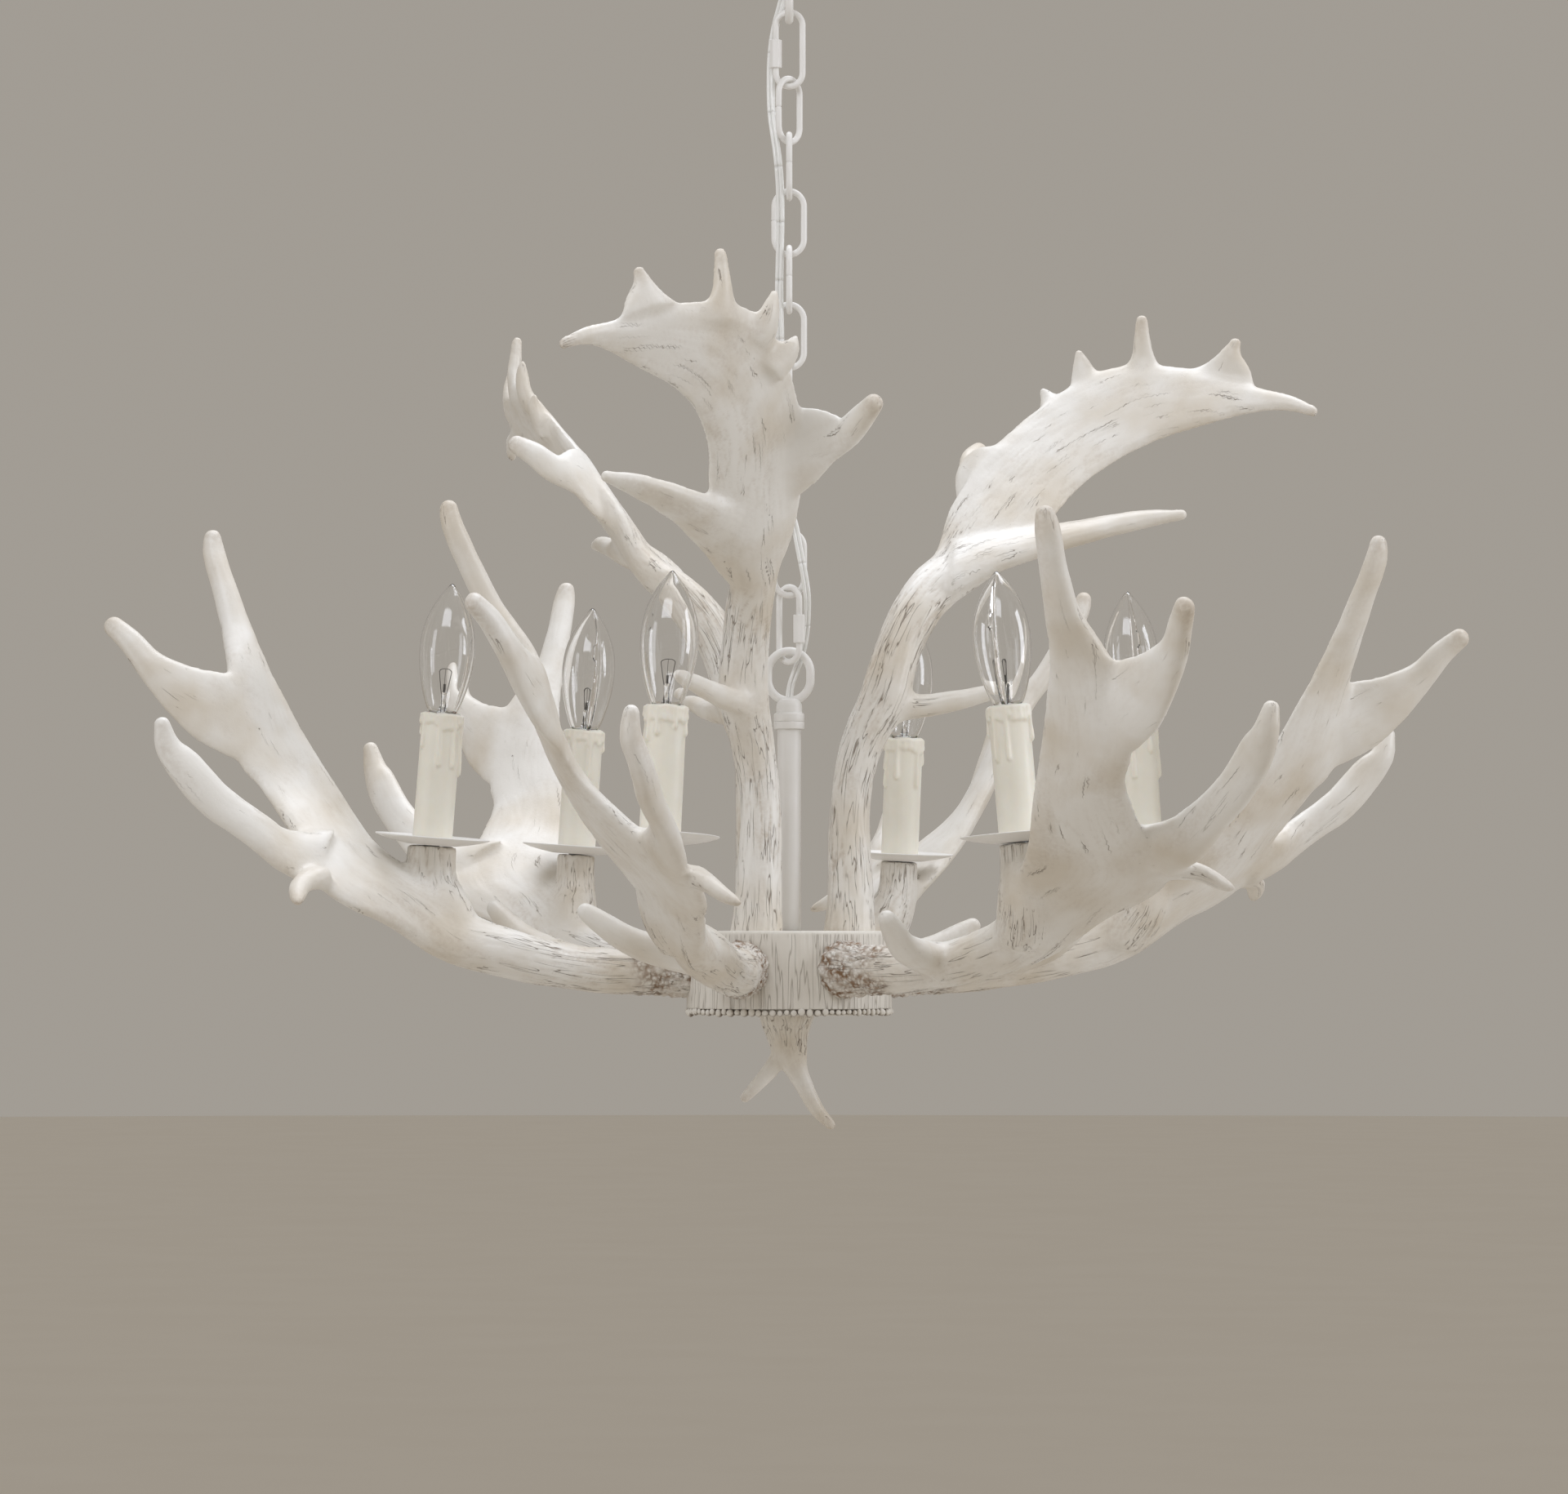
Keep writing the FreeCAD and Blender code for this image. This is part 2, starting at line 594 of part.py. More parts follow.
def bolts():
    side = []
    top = []
    inner_wall = size("hub_radius") - size("hub_wall")
    head_room = inner_wall - math.sqrt(inner_wall ** 2 - size("bolt_head_radius") ** 2)
    for i, angle in enumerate(around(6)):
        screw = bolt("side_bolt_%d" % i)
        screw.Placement = radial(angle, inner_wall - head_room, -size("side_bolt_drop"))
        side.append(screw)
    for i, angle in enumerate(around(3)):
        screw = bolt("top_bolt_%d" % i)
        out = Rotation(Vector(0, 0, 1), angle).multVec(Vector(size("top_bolt_circle"), 0, 0))
        screw.Placement = at(-size("hub_wall"), out.x, out.y)
        top.append(screw)
    for label, screws in (("lower_antler_bolts", side), ("upper_antler_bolts", top)):
        group = doc.addObject("Part::Compound", label + "_group")
        group.Links = screws
        piece(group, label, at(hub_top))


# ---------------------------------------------------------------- antlers
# Casting coordinates: x outward from the stem, y along the rim, z above the drum's top.

LOWER_LIMBS = {
    "arm": [((46, -2, -24), 15, 15), ((66, 3, -24), 18, 18), ((84, 11, -25), 15.5, 15.5),
            ((110, 23, -25), 15, 15), ((142, 34, -22), 14.5, 14.5), ((182, 45, -13), 16, 16),
            ((205, 34, 10), (218, 66, -16), 13), ((236, 27, 32), (250, 84, 5), 10),
            ((260, 21, 48), (289, 104, 26), 8.8), ((274, 16, 64), (317, 65, 65), 8),
            ((286, 12, 82), (334, 47, 86), 7.5), ((309, 6, 116), (353, 42, 108), 7),
            ((334, -3, 158), (358, 27, 156), 7), ((349, -14, 188), (364, 2, 184), 7.2),
            ((366, -17, 212), 8.5, 7), ((373, -24, 232), 7.8, 6.5), ((374, -26, 241), 6, 5.5)],
    "outer_tine": [((338, 16, 146), (352, 44, 102), 6), ((358, 28, 157), (374, 44, 113), 6.6),
                   ((379, 33, 160), (395, 43, 133), 7), ((405, 38.5, 160), 10, 7),
                   ((419, 35, 175), 8, 6.5), ((430, 31, 184), 6.5, 5.5)],
    "side_tine": [((285, 62, 62), (300, 98, 28), 8), ((312, 78, 60), (316, 110, 38), 8),
                  ((327, 94, 70), (334, 112, 52), 7.5), ((350, 103, 88), (362, 113, 70), 7.5),
                  ((369, 106, 108), (379, 117, 88), 7), ((386, 112, 112), 8.5, 6.5),
                  ((389.5, 114, 125), 5.5, 5)],
    "side_spur": [((290, 98, 34), 10, 8), ((301, 116, 30), 8, 6), ((303, 130, 23), 6, 4.5),
                  ((302, 138, 19.5), 3.8, 3)],
    "inner_spur": [((136, 32, -20), 12, 12), ((150, 10, -16), 10.5, 10.5),
                   ((168, -13, -9), 9, 9), ((183, -29, 3), 7.2, 7.2), ((189, -36, 9), 5.4, 5.4)],
}
UPPER_LIMBS = {
    "beam": [((38, -2, -4), 17, 17), ((39, 0, 20), 15, 15), ((38.5, 1, 75), 13, 13),
             ((45, -1, 115), 13.5, 13.5), ((60, 0, 147), 16, 16), ((69, 6, 178), 15, 15),
             ((80, 15, 202), 16, 13.5), ((80, 34, 228), (108, 18, 212), 12),
             ((95, 53, 243), (135, 22, 232), 10.5), ((105, 66, 275), (168, 34, 263), 8),
             ((128, 78, 310), (190, 46, 288), 6.8), ((163, 86, 342), (218, 52, 307), 6),
             ((207, 86, 368), (244, 50, 319), 5.8), ((255, 70, 368), (275, 42, 328), 5.6),
             ((300, 49, 357), (304, 38, 333), 5.2), ((325, 38, 340), 7, 4.5),
             ((338, 32, 334), 4, 3.2)],
    "rim_tine_1": [((262, 68, 366), (303, 50, 352), 5), ((274, 62, 372), (299, 51, 366), 5.2),
                   ((287.5, 56, 375), 7, 4.8), ((290, 55, 381), 4, 3.2)],
    "rim_tine_2": [((212, 84, 356), (252, 68, 356), 5.2), ((220, 83, 376), (243, 75, 374), 5.2),
                   ((231, 78, 388), 7, 5), ((231, 77, 398), 4.3, 3.6)],
    "rim_tine_3": [((186, 86, 344), (212, 78, 354), 5.2), ((184, 91, 356), (205, 87, 364), 5),
                   ((193, 91, 370), 7.5, 4.8), ((191, 92, 379), 3.6, 3)],
    "rim_tine_4": [((170, 86, 326), (194, 80, 340), 5), ((165, 92, 337), (181, 88, 350), 5),
                   ((170, 94, 350), 6, 4.3), ((167, 94, 355), 3, 2.5)],
    "front_tine": [((135, 66, 268), 14, 9), ((124, 85, 287), 13, 9), ((119, 103, 301), 10, 8),
                   ((122, 117, 311), 7.8, 7), ((127, 126, 317), 6.2, 6)],
    "brow_tine": [((108, 46, 250), (104, 10, 214), 10), ((138, 46, 256), (132, 9, 231), 9.5),
                  ((172, 40, 259), (174, 12, 246), 8), ((201, 32, 264), (202, 11, 253.5), 6.5),
                  ((229, 22, 268), (227, 9.5, 259), 5.4), ((251, 11, 266), 3.8, 3.5)],
    "low_tine": [((60, 1, 143), 12, 12), ((84, 3, 143), 8, 8), ((108, 2, 147), 6.5, 6.5),
                 ((130, 0, 152), 5, 5), ((140, -1, 154), 3.2, 3.2)],
}
CANDLE_FOOT = Vector(226.5, 37.2, 52)
CANDLE_TOP = Vector(217.8, 32.9, 214.5)
WIRE_ROUTE = [(52, -2, -34), (74, 4, -33), (98, 17, -28), (124, 28, -26), (150, 36, -22),
              (176, 43, -16), (200, 47, -5), (216, 45, 8), (224, 40.5, 22), (226.6, 38, 36)]

# Each cast antler settled a little differently on the drum: its number, its turn on the drum,
# then its own twist about Z, tilt about Y and roll about X, in degrees.
LOWER_SEATS = [(1, 0, -1.5, -0.5, 0), (2, 60, 3.5, 2, 1.5), (3, 120, -1, 0.5, 1.5),
               (4, 180, 0.5, -1.5, -3.5), (5, 240, 0, -0.5, -2.5), (6, 300, -1.5, 0, 2.5)]
UPPER_SEATS = [(1, 0, 1, 0, -0.5), (2, 120, -2.5, 1.5, 0), (3, 240, 1.5, -1.5, 0.5)]
LOWER_PIVOT = Vector(60, 0, -30)
UPPER_PIVOT = Vector(37, 0, 0)


def cast_place(seat_values, pivot):
    """Where one casting sits on the drum, in the chandelier's frame."""
    _, turn, twist, tilt, roll = seat_values
    own = Rotation(Vector(0, 1, 0), tilt).multiply(Rotation(Vector(1, 0, 0), roll))
    own = own.multiply(Rotation(Vector(0, 0, 1), twist))
    settled = Placement(pivot - own.multVec(pivot), own)
    drum = Placement(Vector(0, 0, hub_top), Rotation(Vector(0, 0, 1), turn))
    return drum.multiply(settled)


def candle_frame():
    """The candle's own frame on the casting: its Z axis runs up the candle."""
    up = (CANDLE_TOP - CANDLE_FOOT).normalize()
    return Placement(CANDLE_FOOT, Rotation(Vector(0, 0, 1), up))


def candle_places():
    return [cast_place(seat_values, LOWER_PIVOT).multiply(candle_frame())
            for seat_values in LOWER_SEATS]


def lower_cast():
    """The lower casting with its candle stub, its wire channel and the stub's nipple hole."""
    up = (CANDLE_TOP - CANDLE_FOOT).normalize()
    limbs = dict(LOWER_LIMBS)
    below = [CANDLE_FOOT - up * 24, CANDLE_FOOT - up * 12, CANDLE_FOOT]
    limbs["candle_stub"] = [((214, 46, -4), 20, 20), ((222, 42, 13), 15, 15)]
    for spot, radius in zip(below, (12.6, 11.8, 11.8)):
        limbs["candle_stub"].append(((spot.x, spot.y, spot.z), radius, radius))
    shape = antler_cast(limbs, plain=("candle_stub",))
    channel = piped(WIRE_ROUTE, size("channel_radius"))[0]
    deep = size("pan_nipple_below") + 4
    hole = Part.makeCylinder(size("pipe_radius") + size("fit_gap"), deep, Vector(0, 0, -deep))
    hole.Placement = candle_frame()
    return shape.cut([channel, hole])


def drum_blank(top):
    """What the drum and its base plate fill, in the chandelier's frame."""
    height = size("hub_height") + size("base_thickness") + size("bead_radius")
    return Part.makeCylinder(size("hub_radius"), height, Vector(0, 0, top - height))


def antlers():
    lower = lower_cast()
    upper = antler_cast(UPPER_LIMBS)
    hole_radius = size("bolt_radius") + size("fit_gap")
    deep = size("bolt_length") + 1
    inner_wall = size("hub_radius") - size("hub_wall")
    for seats, pivot, cast, label in ((LOWER_SEATS, LOWER_PIVOT, lower, "lower_antler_%d"),
                                      (UPPER_SEATS, UPPER_PIVOT, upper, "upper_antler_%d")):
        for values in seats:
            place = cast_place(values, pivot)
            back = place.inverse()
            hole = Part.makeCylinder(hole_radius, deep)
            if cast is lower:
                hole.Placement = at(hub_top).multiply(
                    radial(values[1], inner_wall, -size("side_bolt_drop")))
            else:
                out = Rotation(Vector(0, 0, 1), values[1]).multVec(
                    Vector(size("top_bolt_circle"), 0, 0))
                hole.Placement = at(hub_top - size("hub_wall"), out.x, out.y)
            drum = drum_blank(hub_top)
            for tool in (hole, drum):
                tool.Placement = back.multiply(tool.Placement)
            shape = cast.cut([drum, hole])
            largest = max(shape.Solids, key=lambda s: s.Volume)
            piece(feature_of(label % values[0] + "_cast", largest), label % values[0], place)


def finial():
    """Small forked antler tip under the drum, bored for the end of the lamp pipe."""
    limbs = {
        "trunk": [((-1.5, 0, 3), 18, 17), ((-1.5, 0, -4), 16.5, 16), ((-1, 0, -13), 13.5, 13),
                  ((0, 0, -22), 11.6, 11.5), ((3, 1, -34), 9.6, 9.5), ((9, 1, -46), 7.4, 7.4),
                  ((17, 0, -59), 5.6, 5.6), ((26, -1, -69), 3.6, 3.6)],
        "fork": [((-2, 0, -24), 9, 9), ((-9, -1, -34), 7.4, 7.4), ((-18, -2, -43), 5.6, 5.6),
                 ((-28, -2, -52), 3.6, 3.6)],
    }
    shape = antler_cast(limbs)
    reach = size("hub_radius")
    above = Part.makeBox(2 * reach, 2 * reach, reach, Vector(-reach, -reach, 0))
    depth = size("rod_below_base") + 1
    bore = Part.makeCylinder(size("pipe_radius") + size("fit_gap"), depth, Vector(0, 0, -depth))
    low = hub_top - size("hub_height") - size("base_thickness")
    piece(feature_of("finial_cast", shape.cut([above, bore])), "finial", at(low))


# ---------------------------------------------------------------- candles

def grouped(label, body, places):
    """Six separate copies of one small piece under one name."""
    doc.recompute()
    copies = []
    for place in places:
        copy = body.Shape.copy()
        copy.Placement = place.multiply(copy.Placement)
        copies.append(copy)
    piece(feature_of(label + "_set", Part.makeCompound(copies)), label)


def candles():
    places = candle_places()
    pan = turned("pan", [
        ("pipe_radius + fit_gap", "0"), ("pan_floor_radius", "0"),
        ("pan_radius - 1", "pan_height - sheet_wall"), ("pan_radius", "pan_height - 0.3"),
        ("pan_radius - 0.6", "pan_height"), ("pan_floor_radius - 0.4", "sheet_wall"),
        ("pipe_radius + fit_gap", "sheet_wall")])
    grouped("drip_pans", pan, places)
    nipple = tube("pan_nipple", "pipe_radius", "pipe_bore", "-pan_nipple_below",
                  "pan_nipple_above")
    grouped("pan_nipples", nipple, places)
    foot = "sheet_wall"
    rim = "sheet_wall + candle_height"
    socket_top = rim + " - socket_below_rim"
    socket_low = socket_top + " - socket_height"
    seat_bore = "bulb_base_radius + fit_gap"
    base_low = socket_top + " - bulb_base_length - 2"
    socket = turned("socket", [
        ("pipe_radius + fit_gap", foot), ("socket_radius", foot),
        ("socket_radius", foot + " + 2"), ("post_radius + 0.6", foot + " + 2"),
        ("post_radius + 0.6", foot + " + 10"), ("post_radius", foot + " + 11"),
        ("post_radius", socket_low), ("socket_radius", socket_low),
        ("socket_radius", socket_top), (seat_bore, socket_top), (seat_bore, base_low),
        ("1", base_low), ("1", foot + " + 12"), ("pipe_radius + fit_gap", foot + " + 8.5")])
    grouped("candle_sockets", socket, places)
    sleeve = turned("sleeve", [
        ("candle_bore", foot), ("candle_radius", foot), ("candle_radius", rim + " - 0.8"),
        ("candle_radius - 0.8", rim), ("candle_bore", rim)])
    grouped("candle_sleeves", sleeve, places)
    for number, place in enumerate(places, 1):
        bulb(number, place)


def bulb(number, place):
    """Screw base and clear torpedo glass, both hollow where the real ones are."""
    rim = size("sheet_wall") + size("candle_height")
    base_top = rim - size("socket_below_rim") + 1
    base = turned("bulb_base_body_%d" % number, [
        ("0", "-bulb_base_length - 1.5"), ("2", "-bulb_base_length - 1.5"),
        ("2.6", "-bulb_base_length"), ("bulb_base_radius - 0.8", "-bulb_base_length"),
        ("bulb_base_radius", "-bulb_base_length + 1.5"), ("bulb_base_radius", "0"), ("0", "0")])
    piece(base, "bulb_base_%d" % number, place.multiply(at(base_top)))
    wide = size("bulb_radius")
    tall = size("bulb_height") + rim - base_top
    outline = [(0.31, 0), (0.56, 0.05), (0.79, 0.19), (0.95, 0.34), (1, 0.49), (0.92, 0.64),
               (0.73, 0.77), (0.42, 0.89), (0.14, 0.97), (0.05, 1)]
    wall = size("glass_wall")
    faces = []
    for inset in (0, wall):
        spots = [Vector(max(r * wide - inset, 0.1), 0, inset + z * (tall - 3 * inset))
                 for r, z in outline]
        curve = Part.BSplineCurve()
        curve.interpolate(Points=spots)
        foot_spot = Vector(0, 0, spots[0].z)
        tip = Vector(0, 0, spots[-1].z)
        edges = [Part.LineSegment(foot_spot, spots[0]).toShape(), curve.toShape(),
                 Part.LineSegment(spots[-1], tip).toShape(),
                 Part.LineSegment(tip, foot_spot).toShape()]
        face = Part.Face(Part.Wire(edges))
        faces.append(face.revolve(Vector(0, 0, 0), Vector(0, 0, 1), 360))
    glass = faces[0].cut(faces[1])
    piece(feature_of("bulb_glass_blown_%d" % number, glass), "bulb_glass_%d" % number,
          place.multiply(at(base_top)))


# ---------------------------------------------------------------- wiring

# The hanging cord, by hand: x right, y away from the viewer, height above the loop's flange.
CORD_ROUTE = [(0, 0, 507.2), (0, 0.3, 481.2), (-2, 2, 469.2), (-6, 4.4, 456.2),
              (-10.2, 6.4, 440.2), (-12, 6.6, 423.2), (-12.3, 5.4, 405.2), (-11.6, 2.6, 387.2),
              (-9.6, -2.6, 373.2), (-7.4, -5.6, 358.2), (-5.9, -5.8, 337.2),
              (-5.6, -5.5, 316.2), (-6.2, -6, 294.2), (-6.8, -6.2, 272.2), (-6.2, -5.6, 250.2),
              (-5.7, -5.7, 228.2), (-5.8, -6.1, 206.2), (-6.4, -5.9, 185.2), (-6, -5.4, 167.2),
              (-4.8, -5.3, 152.2), (-1, -3.6, 138.2), (3.6, -4.8, 125.2), (6.4, -5.8, 109.2),
              (9.4, -5.9, 94.2), (11.6, -4.4, 80.2), (11.4, -0.4, 67.2), (10.6, 3.8, 55.2),
              (8, 6.4, 43.2), (4, 3.4, 31.7), (0, 0, 20.7), (0, 0, 9.2)]


def wiring():
    route = [(x, y, z + joint_z) for x, y, z in CORD_ROUTE]
    cord, radii, length = piped(route, size("cord_radius"))
    expected = math.pi * size("cord_radius") ** 2 * length
    print("cord length %.1f, volume share %.4f" % (length, cord.Volume / expected))
    print("cord radii", ["%.1f" % r for r in radii])
    piece(feature_of("supply_cord_run", cord), "supply_cord")
    lead_top = "stem_length + flange_height + %.3f" % CORD_ROUTE[-1][2]
    lead = turned("stem_lead", [("0", "-hub_height * 0.6"), ("cord_radius", "-hub_height * 0.6"),
                                ("cord_radius", lead_top), ("0", lead_top)])
    piece(lead, "stem_cord", at(hub_top))
    wire, radii, _ = piped(WIRE_ROUTE, size("branch_wire_radius"))
    print("branch wire radii", ["%.1f" % r for r in radii])
    copies = []
    for values in LOWER_SEATS:
        copy = wire.copy()
        copy.Placement = cast_place(values, LOWER_PIVOT)
        copies.append(copy)
    piece(feature_of("branch_wire_set", Part.makeCompound(copies)), "branch_wires")
    caps = []
    for i, angle in enumerate(around(2, first=30)):
        out = Rotation(Vector(0, 0, 1), angle).multVec(Vector(size("cap_circle"), 0, 0))
        caps.append(primitive("Cone", "wire_cap_%d" % i, at(-size("hub_height"), out.x, out.y),
                              Radius1="cap_radius", Radius2="cap_tip_radius",
                              Height="cap_height"))
    group = doc.addObject("Part::Compound", "wire_cap_pair")
    group.Links = caps
    piece(group, "wire_connectors", at(hub_top))


ceiling_hardware()
canopy_loop()
chain()
stem()
hub()
bolts()
antlers()
finial()
candles()
wiring()
doc.recompute()

# ---------------------------------------------------------------- checks and export

faults = [o.Name for o in doc.Objects if "Invalid" in o.State or "Error" in o.State]
for item in pieces:
    if item.Shape.isNull() or not item.Shape.isValid():
        faults.append(item.Label)
if faults:
    raise RuntimeError("failed: " + ", ".join(faults))

os.makedirs("parts", exist_ok=True)
for item in pieces:
    item.Shape.exportStep("parts/%s.step" % item.Label)
print(len(pieces), "sub-parts written")
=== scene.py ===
# %% [markdown]
# # An antler chandelier, dressed in Blender
# The chandelier hangs from a ceiling canopy on a painted chain. Nine cast antlers stand round a
# bark drum, and six of them carry an imitation candle with a clear bulb. The solids come from
# the CAD part and stay where they are. What the eye sees is modelled here over them.

# %% Open the CAD frame and keep its box
import math
import random

import bmesh
import bpy
import numpy as np
from mathutils import Matrix, Vector, noise


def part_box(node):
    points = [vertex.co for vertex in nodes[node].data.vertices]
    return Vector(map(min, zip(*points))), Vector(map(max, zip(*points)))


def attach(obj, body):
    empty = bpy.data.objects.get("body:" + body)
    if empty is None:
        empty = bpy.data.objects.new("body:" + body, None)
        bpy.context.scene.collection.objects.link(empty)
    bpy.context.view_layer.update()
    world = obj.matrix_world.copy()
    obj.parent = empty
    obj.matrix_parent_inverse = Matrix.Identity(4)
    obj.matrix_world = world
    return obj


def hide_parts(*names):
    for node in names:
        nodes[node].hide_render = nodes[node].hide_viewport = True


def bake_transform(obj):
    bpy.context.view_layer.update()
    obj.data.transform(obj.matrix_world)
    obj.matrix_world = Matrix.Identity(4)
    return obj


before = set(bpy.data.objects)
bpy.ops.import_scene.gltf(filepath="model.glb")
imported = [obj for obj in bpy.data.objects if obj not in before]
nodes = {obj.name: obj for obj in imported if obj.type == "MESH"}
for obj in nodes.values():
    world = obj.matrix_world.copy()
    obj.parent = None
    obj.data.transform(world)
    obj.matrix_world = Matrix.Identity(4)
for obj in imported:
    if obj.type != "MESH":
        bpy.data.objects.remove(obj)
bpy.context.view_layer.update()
scene = bpy.context.scene

# %% [markdown]
# ## The camera
# A long lens at about the height of the drum, looking a little upwards, gives the photograph's
# view: the drum's underside and the pans' undersides both just show. Its place, tilt and lens
# were fitted to the photograph.

# %% Camera
LENS_MM = 132.1
CAMERA_AT = (-0.0033, -3.6501, -0.6542)
CAMERA_TILT = 91.908
camera_data = bpy.data.cameras.new("camera")
camera_data.lens = LENS_MM
camera = bpy.data.objects.new("camera", camera_data)
camera.location = CAMERA_AT
camera.rotation_euler = (math.radians(CAMERA_TILT), 0, 0)
scene.collection.objects.link(camera)
scene.camera = camera
print("camera at", tuple(round(v, 3) for v in camera.location))

# %% [markdown]
# ## Colours and nodes
# Every finish is a small tree of nodes. One function turns the hex value of a colour swatch into
# the linear values that the renderer adds up, one starts a finish, and one adds a node to it.
# Patterns read Object coordinates, which are metres here, so a noise of scale 1 / 0.004 has
# features about 4 mm apart.

# %% Helpers for the finishes
MM = 0.001


def swatch(code):
    """An sRGB hex colour as linear red, green, blue and alpha."""
    channels = [int(code[i:i + 2], 16) / 255 for i in (0, 2, 4)]
    return [c / 12.92 if c <= 0.04045 else ((c + 0.055) / 1.055) ** 2.4 for c in channels] + [1.0]


def start_finish(name, **constants):
    """A new material, its node tree and its shader with these socket values."""
    material = bpy.data.materials.new(name)
    material.use_nodes = True
    shader = material.node_tree.nodes["Principled BSDF"]
    for socket, value in constants.items():
        shader.inputs[socket.replace("_", " ")].default_value = value
    return material, material.node_tree, shader


def add(tree, kind, inputs, **settings):
    """Adds one node, sets or links its inputs, and returns its outputs."""
    made = tree.nodes.new("ShaderNode" + kind)
    for key, value in settings.items():
        setattr(made, key, value)
    for key, value in inputs.items():
        if isinstance(value, bpy.types.NodeSocket):
            tree.links.new(value, made.inputs[key])
        else:
            made.inputs[key].default_value = value
    return made.outputs


# %% [markdown]
# ## Cast resin antler
# The antlers are polyresin castings, sprayed off-white, then brushed with a thin umber wash that
# is wiped back, so that it stays in the cracks of the bark and in the burrs at the drum. Cracks
# run along each limb, so they can't be drawn in the room's coordinates. The mesh carries each
# point's place on its limb, and a noise stretched along that place is a crack wherever it
# passes through its middle value. Drawn in the shader, a crack can be finer than the mesh.

# %% Antler finish: coordinates and cracks
antler_finish, tree, shader = start_finish("antler_resin_umber_wash", IOR=1.49)
place = add(tree, "TexCoord", {})["Object"]
limb = add(tree, "Attribute", {}, attribute_name="limb_place")[1]
bark = add(tree, "Attribute", {}, attribute_name="bark")[2]
wash = add(tree, "Attribute", {}, attribute_name="wash")[2]
root = add(tree, "Attribute", {}, attribute_name="root")[2]
# Cracks stand about 2.6 mm apart and run for 40 mm. A second noise breaks them into pieces, and
# the less bark a place has, the fewer of the pieces are open.
fibres = add(tree, "VectorMath", {0: limb, 1: (1 / 0.040, 1 / 0.0026, 1 / 0.0026)},
             operation="MULTIPLY")[0]
fibre = add(tree, "TexNoise", {"Vector": fibres, "Scale": 1.0, "Detail": 1.0})[0]
offset = add(tree, "Math", {0: fibre, 1: 0.5}, operation="SUBTRACT")[0]
distance = add(tree, "Math", {0: offset}, operation="ABSOLUTE")[0]
line = add(tree, "MapRange", {0: distance, 1: 0.003, 2: 0.024, 3: 1.0, 4: 0.0})[0]
lengths = add(tree, "VectorMath", {0: limb, 1: (1 / 0.030, 1 / 0.006, 1 / 0.006)},
              operation="MULTIPLY")[0]
piece = add(tree, "TexNoise", {"Vector": lengths, "Scale": 1.0, "Detail": 1.0})[0]
chance = add(tree, "Math", {0: bark, 1: 0.32, 2: piece}, operation="MULTIPLY_ADD")[0]
open_here = add(tree, "MapRange", {0: chance, 1: 0.68, 2: 0.8, 3: 0.0, 4: 1.0})[0]
crack = add(tree, "Math", {0: line, 1: open_here}, operation="MULTIPLY")[0]
print("finish started:", antler_finish.name)

# %% Antler finish: colour, burr and relief
clouds = add(tree, "TexNoise", {"Vector": place, "Scale": 1 / 0.05, "Detail": 3.0})[0]
cloudy = add(tree, "MapRange", {0: clouds, 1: 0.4, 2: 0.68, 3: 0.0, 4: 1.0})[0]
ivory = add(tree, "Mix", {0: cloudy, 6: swatch("F1EFEA"), 7: swatch("DFD7C9")},
            data_type="RGBA")[2]
flecks = add(tree, "TexNoise", {"Vector": place, "Scale": 1 / 0.0028, "Detail": 2.0})[0]
broken = add(tree, "MapRange", {0: flecks, 1: 0.32, 2: 0.62, 3: 0.25, 4: 1.0})[0]
wash_share = add(tree, "Math", {0: wash, 1: broken}, operation="MULTIPLY")[0]
washed = add(tree, "Mix", {0: wash_share, 6: ivory, 7: swatch("B5A48F")}, data_type="RGBA")[2]
# The burr's nubs are 3 to 4 mm across. Umber fills the valleys between them.
wander = add(tree, "TexNoise", {"Vector": place, "Scale": 1 / 0.003, "Detail": 2.0})[1]
uneven = add(tree, "VectorMath", {0: wander, 1: (0.004, 0.004, 0.004), 2: place},
             operation="MULTIPLY_ADD")[0]
nubs = add(tree, "TexVoronoi", {"Vector": uneven, "Scale": 1 / 0.003})[0]
valley = add(tree, "MapRange", {0: nubs, 1: 0.2, 2: 0.75, 3: 0.0, 4: 1.0})[0]
patches = add(tree, "TexNoise", {"Vector": place, "Scale": 1 / 0.011, "Detail": 2.0})[0]
patch_share = add(tree, "MapRange", {0: patches, 1: 0.4, 2: 0.6, 3: 0.25, 4: 1.0})[0]
umber = add(tree, "Math", {0: valley, 1: patch_share}, operation="MULTIPLY")[0]
umber_share = add(tree, "Math", {0: umber, 1: root}, operation="MULTIPLY")[0]
stained = add(tree, "Mix", {0: umber_share, 6: washed, 7: swatch("87694C")}, data_type="RGBA")[2]
crack_share = add(tree, "Math", {0: crack, 1: 0.8}, operation="MULTIPLY")[0]
cracked = add(tree, "Mix", {0: crack_share, 6: stained, 7: swatch("7D6D5C")},
              data_type="RGBA")[2]
tree.links.new(cracked, shader.inputs["Base Color"])
rough = add(tree, "MapRange", {0: wash, 1: 0.0, 2: 1.0, 3: 0.38, 4: 0.7})[0]
tree.links.new(rough, shader.inputs["Roughness"])
pores = add(tree, "TexNoise", {"Vector": place, "Scale": 1 / 0.0012, "Detail": 2.0})[0]
with_pores = add(tree, "Math", {0: pores, 1: 0.12, 2: 1.0}, operation="MULTIPLY_ADD")[0]
with_cracks = add(tree, "Math", {0: with_pores, 1: crack}, operation="SUBTRACT")[0]
burr_depth = add(tree, "Math", {0: valley, 1: root}, operation="MULTIPLY")[0]
relief = add(tree, "Math", {0: with_cracks, 1: burr_depth}, operation="SUBTRACT")[0]
bumped = add(tree, "Bump", {"Height": relief, "Strength": 0.8, "Distance": 0.0006})[0]
tree.links.new(bumped, shader.inputs["Normal"])
print("nodes in it:", len(tree.nodes))

